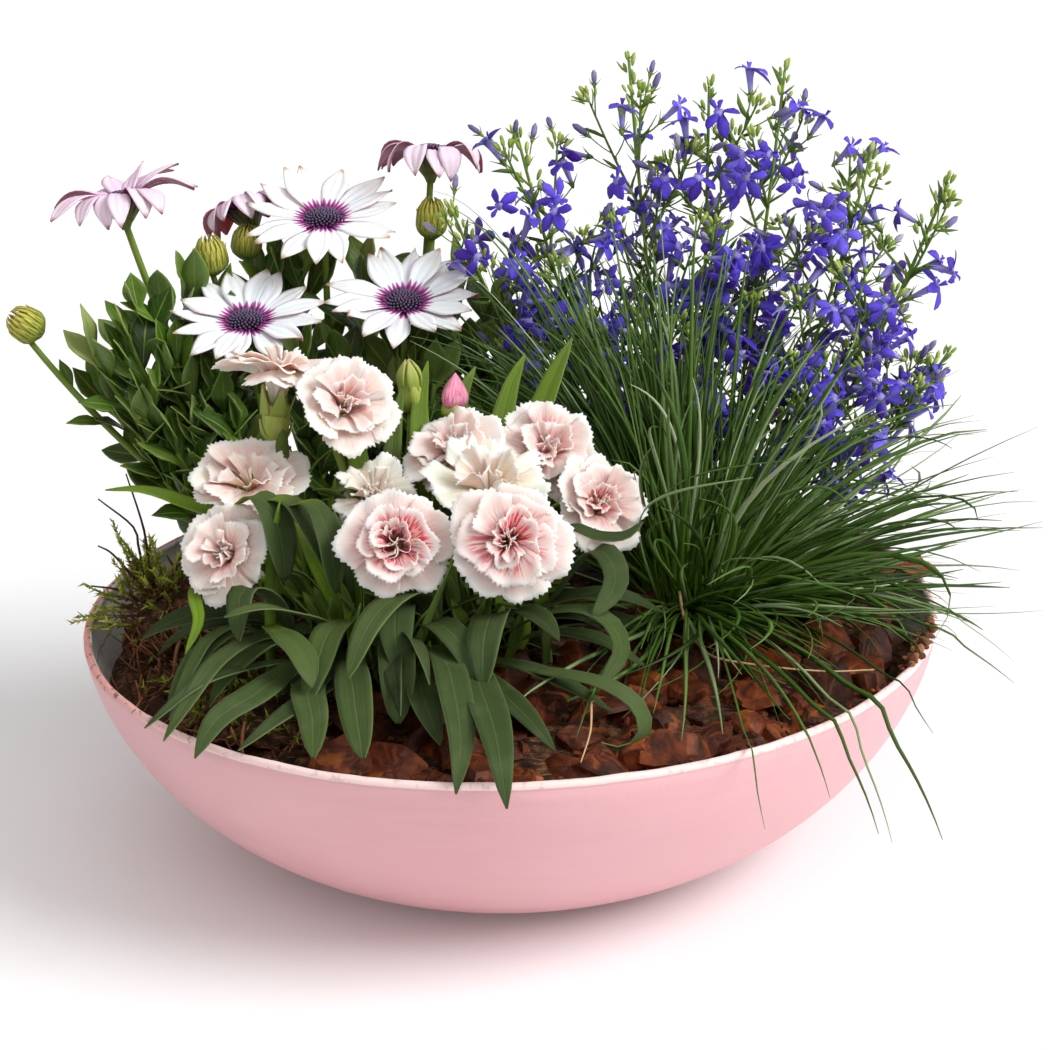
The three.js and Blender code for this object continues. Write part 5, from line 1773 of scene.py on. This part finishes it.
def springing(rng, foot, angle, lean, bend, length):
    """The path of a blade that springs up at an angle from upright and bends over by its own weight."""
    share = np.linspace(0, 1, BLADE_POINTS)
    out, rise = unrolled(lean + bend * share**1.8, length / (BLADE_POINTS - 1))
    turn_by = angle + rng.normal(0, 0.24) * share + rng.normal(0, 0.3) * share**3
    return foot + np.stack([out * np.cos(turn_by), out * np.sin(turn_by), rise], axis=1)


def laid(path):
    """The path lifted clear of the soil and the lip, with few points where it is free of both."""
    fine = evenly(path, 80)
    least = resting_height(np.hypot(fine[:, 0], fine[:, 1]))
    if (fine[:, 2] > least + 1).all():
        return evenly(fine, 11)
    for _ in range(8):
        fine[:, 2] = np.maximum(fine[:, 2], least)
        fine[1:-1, 2] = (fine[:-2, 2] + 2 * fine[1:-1, 2] + fine[2:, 2]) / 4
    return evenly(fine, 24)


def blade(form, rng, path, width, tint):
    """A flat tapering blade with a ridge along it, turned any way about itself."""
    path = laid(path)
    heading = unit(path[-1] - path[0])
    sideways = unit(np.cross(heading, UP) + [1e-3, 0, 0])
    roll = rng.uniform(-1.3, 1.3)
    radius = width / 2 * np.clip(1.02 - 0.9 * np.linspace(0, 1, len(path)) ** 3.5, 0.12, 1)
    side = np.cos(roll) * sideways + np.sin(roll) * np.cross(sideways, heading)
    tube(form, path, radius, 4, tint=tint, flat=0.34, side=side)


def grass_shade(rng):
    return np.clip(rng.normal(0.42, 0.26), 0, 0.96)


def grass_tuft():
    rng = dice("grass_tuft")
    centre = np.array([*middle("grass_root_ball")[:2], box("grass_root_ball")[1][2] + 1])
    least, most = box("grass_tuft")
    form = Form()

    def foot_towards(heading):
        return centre + heading * rng.uniform(1, 13) + rng.normal(0, 4, 3) * [1, 1, 0]

    def blocked(path):
        """Whether a blade would cross the blooms in front, stray too far, or cut through the lip."""
        x, y, z = path.T
        radius = np.hypot(x, y)
        through_blooms = (x < 48) & (y < 4) & (z > 108)
        through_lip = (radius > LIP_INSIDE) & (radius < LIP_OUTSIDE) & (z < HEIGHT - 3)
        over_front = (radius > LIP_OUTSIDE) & (z < HEIGHT + 8) & (y < -50)
        astray = (path.min(0) < least - [14, -30, -30]).any() or (path.max(0) > most + [2, 60, 0]).any()
        return astray or (through_blooms | through_lip | over_front).any()

    def sprout(end, width):
        foot = foot_towards(unit((end - centre) * [1, 1, 0]))
        tint = grass_shade(rng)
        blade(form, rng, arching(rng, foot, end), width, tint)

    for tip in GRASS_TIPS:
        sprout(tip, rng.uniform(1.9, 2.6))
        over_lip = np.hypot(tip[0], tip[1]) > 178 and tip[2] < HEIGHT
        for _ in range(1 if over_lip else SHORTER_BLADES):
            shorter = rng.uniform(0.66, 1.0)
            end = mix(centre, tip, shorter) + rng.normal(0, 9, 3)
            end[2] += (1 - shorter) * 14
            sprout(np.clip(end, least + [-8, -4, -2], most + 4), rng.uniform(1.3, 2.4))
    for sheaf in SHEAVES:
        grown = 0
        while grown < sheaf.count:
            angle = np.radians(rng.uniform(*sheaf.around))
            lean = np.radians(mix(*sheaf.lean, rng.random() ** 0.7))
            bend = np.radians(rng.uniform(4, 34) + 48 * rng.random() ** 3)
            length = rng.uniform(*sheaf.length) * (1 - 0.12 * np.cos(lean))
            path = springing(rng, foot_towards(level(angle)), angle, lean, bend, length)
            if blocked(path):
                continue
            width, tint = rng.uniform(*sheaf.width), grass_shade(rng)
            blade(form, rng, path, width, tint)
            grown += 1
    for width, points in DRY_STALKS:
        tube(form, through(points, 30), width / 2 * np.linspace(1, 0.5, 30), 5, tint=1.0)
    form.piece("grass_tuft_fine", [GRASS], "grass", "grass_tuft")


# ---- Lobelia -------------------------------------------------------------------------------------

LOBELIA_TOPS = np.array([
    [-20, 78, 243], [8, 92, 272], [56, 100, 300], [90, 104, 287], [122, 104, 293], [158, 96, 258],
    [190, 90, 246], [188, 66, 178]], float)

SIDE_STEMS = 10

# The lobes of a flower: the way each points and its rise, both in degrees, its length and half width.
LOBES = [(62, 46, 5.8, 1.0), (118, 46, 5.8, 1.0),
         (-90, -10, 8.0, 2.3), (-142, 8, 7.6, 2.0), (-38, 8, 7.6, 2.0)]


def calyx(form, foot, heading, teeth, radius):
    """A green cup with five spreading linear teeth."""
    path = np.array([foot - heading * 0.6, foot + heading * 0.8, foot + heading * 2.0])
    tube(form, path, [0.4, radius, radius], 5, look=1, tint=0.6)
    turn = aim(heading)
    for i in range(5):
        out = turn @ level(i * TAU / 5)
        start = foot + heading * 1.2 + out * radius * 0.8
        line = np.array([start, start + (0.75 * heading + 0.65 * out) * teeth])
        tube(form, line, [0.28, 0.1], 3, look=1, tint=0.4)


def lobelia_flower(index):
    """Two narrow upper lobes and three broad lower ones on a slender tube; it faces +Z, its top +Y."""
    rng = dice(f"lobelia_flower_{index}")
    form = Form()
    path = np.array([[0, -2.6, -9.5], [0, -1.9, -6.6], [0, -0.7, -2.8], [0, 0, 0.2]])
    tube(form, path, [0.7, 1.0, 1.35, 1.9], 6, along=np.array([0.5, 0.4, 0.2, 0.12]))
    form.marks[0][:, MARKS.index("across")] = 2.0
    s = np.array([0, 0.28, 0.58, 0.84, 1.0])
    for degrees, rise, length, half in LOBES:
        out = level(np.radians(degrees + rng.normal(0, 7)))
        pitch = np.radians(rise + rng.normal(0, 16))
        length = length * rng.uniform(0.86, 1.1)
        side = unit(np.cross(UP, out) + rng.normal(0, 0.16, 3))
        height = s * length * np.sin(pitch) - rng.uniform(0.6, 3.6) * s**2
        line = np.outer(0.9 + s * length * np.cos(pitch), out) + np.outer(height, UP)
        across = np.outer(half * np.array([0.34, 0.68, 1.0, 0.66, 0.04]), [-1, 0, 1])
        lift = rng.uniform(0.1, 0.55) * np.abs(across)
        shell(form, line[:, None] + across[..., None] * side + lift[..., None] * UP, 0.22)
    calyx(form, np.array([0, -3.0, -10.6]), unit([0, 0.35, 1]), teeth=4.2, radius=1.1)
    return form


LOBELIA_FLOWERS = [lobelia_flower(index) for index in range(6)]


def small_bud(form, foot, heading, length, look, tint):
    path = foot + np.outer([0, 0.4, 0.8, 1], heading * length)
    tube(form, path, np.array([0.4, 0.95, 0.85, 0.25]) * length / 5, 5, look, tint)


def narrow_leaf(form, rng, foot, heading, length, tint):
    side = unit(np.cross(heading, rng.normal(size=3)))
    path = bowed(foot, foot + unit(heading) * length, rng.normal(0, length * 0.08, 3), 4)
    half_widths = length * 0.085 * np.array([0.5, 1, 0.85, 0.12])
    leaf(form, path, half_widths, columns=3, fold=0.3, side=side, thickness=0.3, look=1, tint=tint)


def open_flower(form, rng, at, out):
    """One of the flowers on a fine stalk, with a narrow leaf under it."""
    stalk = at + out * rng.uniform(6, 14) + [0, 0, 1.5]
    tube(form, bowed(at, stalk, [0, 0, -1.2], 4), 0.36, 4, look=1, tint=0.4)
    facing = unit(out * [1, 1, 0.6] + [0, -0.25, 0.3] + rng.normal(0, 0.5, 3))
    size = rng.uniform(1.0, 1.3)
    turn = aim(facing, rng.normal(0, 0.5)) * size
    flower = LOBELIA_FLOWERS[rng.integers(len(LOBELIA_FLOWERS))]
    form.stamp(flower, turn, stalk + facing * 10.4 * size + turn[:, 1] * 3.0)
    tint = form.marks[-1][:, MARKS.index("tint")]
    tint[:] = mix(tint, rng.random(), 0.8)
    narrow_leaf(form, rng, at, out + [0, 0, 0.3], rng.uniform(5, 10), rng.uniform(0.1, 0.6))


def stalked_bud(form, rng, at, heading):
    end = at + heading * rng.uniform(9, 16)
    tube(form, bowed(at, end, [0, 0, -1.0], 4), 0.32, 4, look=1, tint=0.4)
    calyx(form, end, heading, teeth=3.2, radius=0.9)
    small_bud(form, end + heading * 1.2, heading, rng.uniform(6, 8.5), 2, rng.random())


def flowering_stem(form, rng, path, radius, flowers, leaves, buds):
    """A stem with leaves, flowers and closed buds on fine stalks, and a head of green buds at its top."""
    tube(form, path, np.linspace(radius, radius * 0.6, len(path)), 5, look=1, tint=rng.uniform(0.25, 0.6))
    spine = evenly(path, 80)
    ahead = unit(spine[-1] - spine[-12])
    turn = aim(ahead, rng.uniform(0, TAU))

    def somewhere(low, high):
        return spine[int(rng.uniform(low, high) * 79)]

    for i in range(leaves):
        at = somewhere(0.12, 0.97)
        out = turn @ (level(i * GOLDEN_ANGLE) + UP * rng.uniform(0.4, 1.2))
        narrow_leaf(form, rng, at, out, rng.uniform(5, 13), rng.uniform(0.0, 0.6))
    for i in range(flowers):
        at = somewhere(0.12, 0.8)
        open_flower(form, rng, at, unit(turn @ (level(i * GOLDEN_ANGLE + rng.normal(0, 0.4)) + 0.9 * UP)))
    for _ in range(rng.integers(0, 3)):
        at = somewhere(0.5, 0.95)
        stalked_bud(form, rng, at, unit(turn @ (level(rng.uniform(0, TAU)) + 1.3 * UP)))
    # The head: thin closed calyces in a loose tuft, the outer ones on short stalks.
    for i in range(buds):
        spread = (0.15 + 0.75 * i / buds) * (turn @ level(i * GOLDEN_ANGLE))
        heading = unit(ahead + spread)
        foot = spine[79 - int(i * 0.9)] + 5 * spread
        small_bud(form, foot, heading, rng.uniform(3.6, 5.6), 1, rng.uniform(0.7, 1.0))
        if i % 2:
            narrow_leaf(form, rng, foot, heading + 0.6 * rng.normal(size=3), rng.uniform(4, 7),
                        rng.uniform(0.5, 0.9))


def lobelia_spray(index):
    """A main stem to the top of a spray, with side stems that are longest low down."""
    node = numbered("lobelia_spray", index)
    rng = dice(node)
    top = LOBELIA_TOPS[index]
    centre = middle("lobelia_root_ball")
    foot = np.array([mix(centre[0], top[0], 0.25), centre[1] + (top[1] - 95) * 0.8,
                     box("lobelia_root_ball")[1][2]])
    main = bowed(foot, top, [(top[0] - foot[0]) * 0.1, 0, -6], 14)
    form = Form()
    flowering_stem(form, rng, main, radius=1.1, flowers=7, leaves=24, buds=14)
    spine = evenly(main, 50)
    for i in range(SIDE_STEMS):
        share = 0.06 + 0.78 * i / SIDE_STEMS + rng.uniform(0, 0.05)
        start = spine[int(share * 49)]
        out = level(i * GOLDEN_ANGLE + index) * [1, 0.75, 0] + UP * rng.uniform(0.9, 2.2)
        length = rng.uniform(44, 76) * (1.15 - 0.6 * share)
        end = start + unit(out) * length
        end[2] = min(end[2], top[2] - 4)
        flowers = rng.integers(3, 6) if share < 0.5 else rng.integers(2, 4)
        path = bowed(start, end, [0, 0, -length * 0.08], 9)
        flowering_stem(form, rng, path, radius=0.75, flowers=flowers, leaves=6, buds=7)
    form.piece(f"{node}_fine", [LOBELIA_PETAL, LOBELIA_GREEN, CLOSED_LOBELIA], "lobelia", node)


# ---- Making the object ---------------------------------------------------------------------------

bowl()
soil()
for plant_name in ("dianthus", "osteospermum", "grass", "lobelia"):
    root_ball(plant_name)
bark_chips()
mulch()
moss_cushions()
litter()
fallen_leaf()
for number in range(len(BLOOMS)):
    bloom(number)
green_bud()
opening_bud()
for side_name in CROWNS:
    dianthus_tuft(side_name)
for number in range(len(DAISIES)):
    daisy(number)
for number in range(len(DAISY_BUDS)):
    daisy_bud(number)
for side_name in BRANCHES:
    daisy_branch(side_name)
grass_tuft()
for number in range(len(LOBELIA_TOPS)):
    lobelia_spray(number)

# ---- Camera, floor and light ---------------------------------------------------------------------

CAMERA = {"elevation": 19.92, "roll": -1.56, "distance": 1214.8, "target": (7.1, 0, 129.7), "field": 20.0}

# The strength of each light, the way it comes from, and how soft it is in degrees. The world is as
# bright as its horizon low down and as its overhead value above that, and dimmer on its shaded side.
LIGHT = {
    "floor_glow": 0.06,
    "overhead": 0.46,
    "horizon": 1.0,
    "shaded": 0.0,
    "shaded_side": (-0.86, -0.5, 0.0),
    "key": {"from": (1.1, -0.45, 1.0), "strength": 2.6, "softness": 34},
    "fill": {"from": (0.1, -0.5, 1.0), "strength": 0.7, "softness": 60},
}


def camera():
    data = bpy.data.cameras.new("camera")
    data.sensor_width = 36
    data.lens = data.sensor_width / 2 / np.tan(np.radians(CAMERA["field"] / 2))
    eye = bpy.data.objects.new("camera", data)
    bpy.context.scene.collection.objects.link(eye)
    tilt = np.radians(CAMERA["elevation"])
    back = Vector((0, -np.cos(tilt), np.sin(tilt)))
    place = Vector(CAMERA["target"]) * MM + back * CAMERA["distance"] * MM
    upright = Matrix.Rotation(np.pi / 2 - tilt, 4, "X")
    roll = Matrix.Rotation(np.radians(CAMERA["roll"]), 4, "Z")
    eye.matrix_world = Matrix.Translation(place) @ upright @ roll
    bpy.context.scene.camera = eye


def floor():
    paint = Paint("pale_floor", roughness=0.9, specular=0.1)
    paint.colour = paint.blend(paint.noise(3, 2), (0.84, 0.84, 0.84, 1), (0.88, 0.88, 0.88, 1))
    paint.set("Emission Color", (1, 1, 1, 1))
    paint.set("Emission Strength", LIGHT["floor_glow"])
    bpy.ops.mesh.primitive_plane_add(size=30, location=(0, 0, -0.0002))
    plane = bpy.context.object
    plane.name = "floor"
    plane.data.materials.append(paint.done())


def sun(name):
    values = LIGHT[name]
    data = bpy.data.lights.new(name, "SUN")
    data.energy = values["strength"]
    data.angle = np.radians(values["softness"])
    lamp = bpy.data.objects.new(name, data)
    bpy.context.scene.collection.objects.link(lamp)
    lamp.location = Vector(values["from"])
    lamp.rotation_mode = "QUATERNION"
    lamp.rotation_quaternion = (-Vector(values["from"])).to_track_quat("-Z", "Y")


def studio():
    """A white studio that is dimmer overhead and low on its shaded side."""
    world = bpy.data.worlds.new("studio")
    world.use_nodes = True
    tree = world.node_tree

    def node(kind, inputs, output=0, **settings):
        made = tree.nodes.new("ShaderNode" + kind)
        for name, value in settings.items():
            setattr(made, name, value)
        for name, value in inputs.items():
            if isinstance(value, bpy.types.NodeSocket):
                tree.links.new(value, made.inputs[name])
            else:
                made.inputs[name].default_value = value
        return made.outputs[output]

    def fade(value, low, high, at_low, at_high):
        return node("MapRange", {"Value": value, "From Min": low, "From Max": high,
                                 "To Min": at_low, "To Max": at_high})

    spot = node("TexCoord", {}, "Generated")
    towards = node("VectorMath", {0: spot, 1: LIGHT["shaded_side"]}, "Value", operation="DOT_PRODUCT")
    band = LIGHT["horizon"] - LIGHT["overhead"]
    low_down = fade(node("SeparateXYZ", {0: spot}, "Z"), 0.12, 0.3, band, 0.0)
    lit = fade(towards, -0.25, 0.8, 1.0, (LIGHT["shaded"] - LIGHT["overhead"]) / band)
    glow = node("Math", {0: low_down, 1: lit}, operation="MULTIPLY")
    strength = node("Math", {0: glow, 1: LIGHT["overhead"]}, operation="ADD")
    # Beyond the floor's edge the studio looks plain white from every side, however it lights.
    seen = node("LightPath", {}, "Is Camera Ray")
    strength = node("Math", {0: strength, 1: seen}, operation="MAXIMUM")
    background = tree.nodes["Background"]
    tree.links.new(strength, background.inputs["Strength"])
    background.inputs["Color"].default_value = (1, 1, 1, 1)
    bpy.context.scene.world = world


camera()
floor()
studio()
sun("key")
sun("fill")
bpy.context.scene.view_settings.view_transform = "Standard"
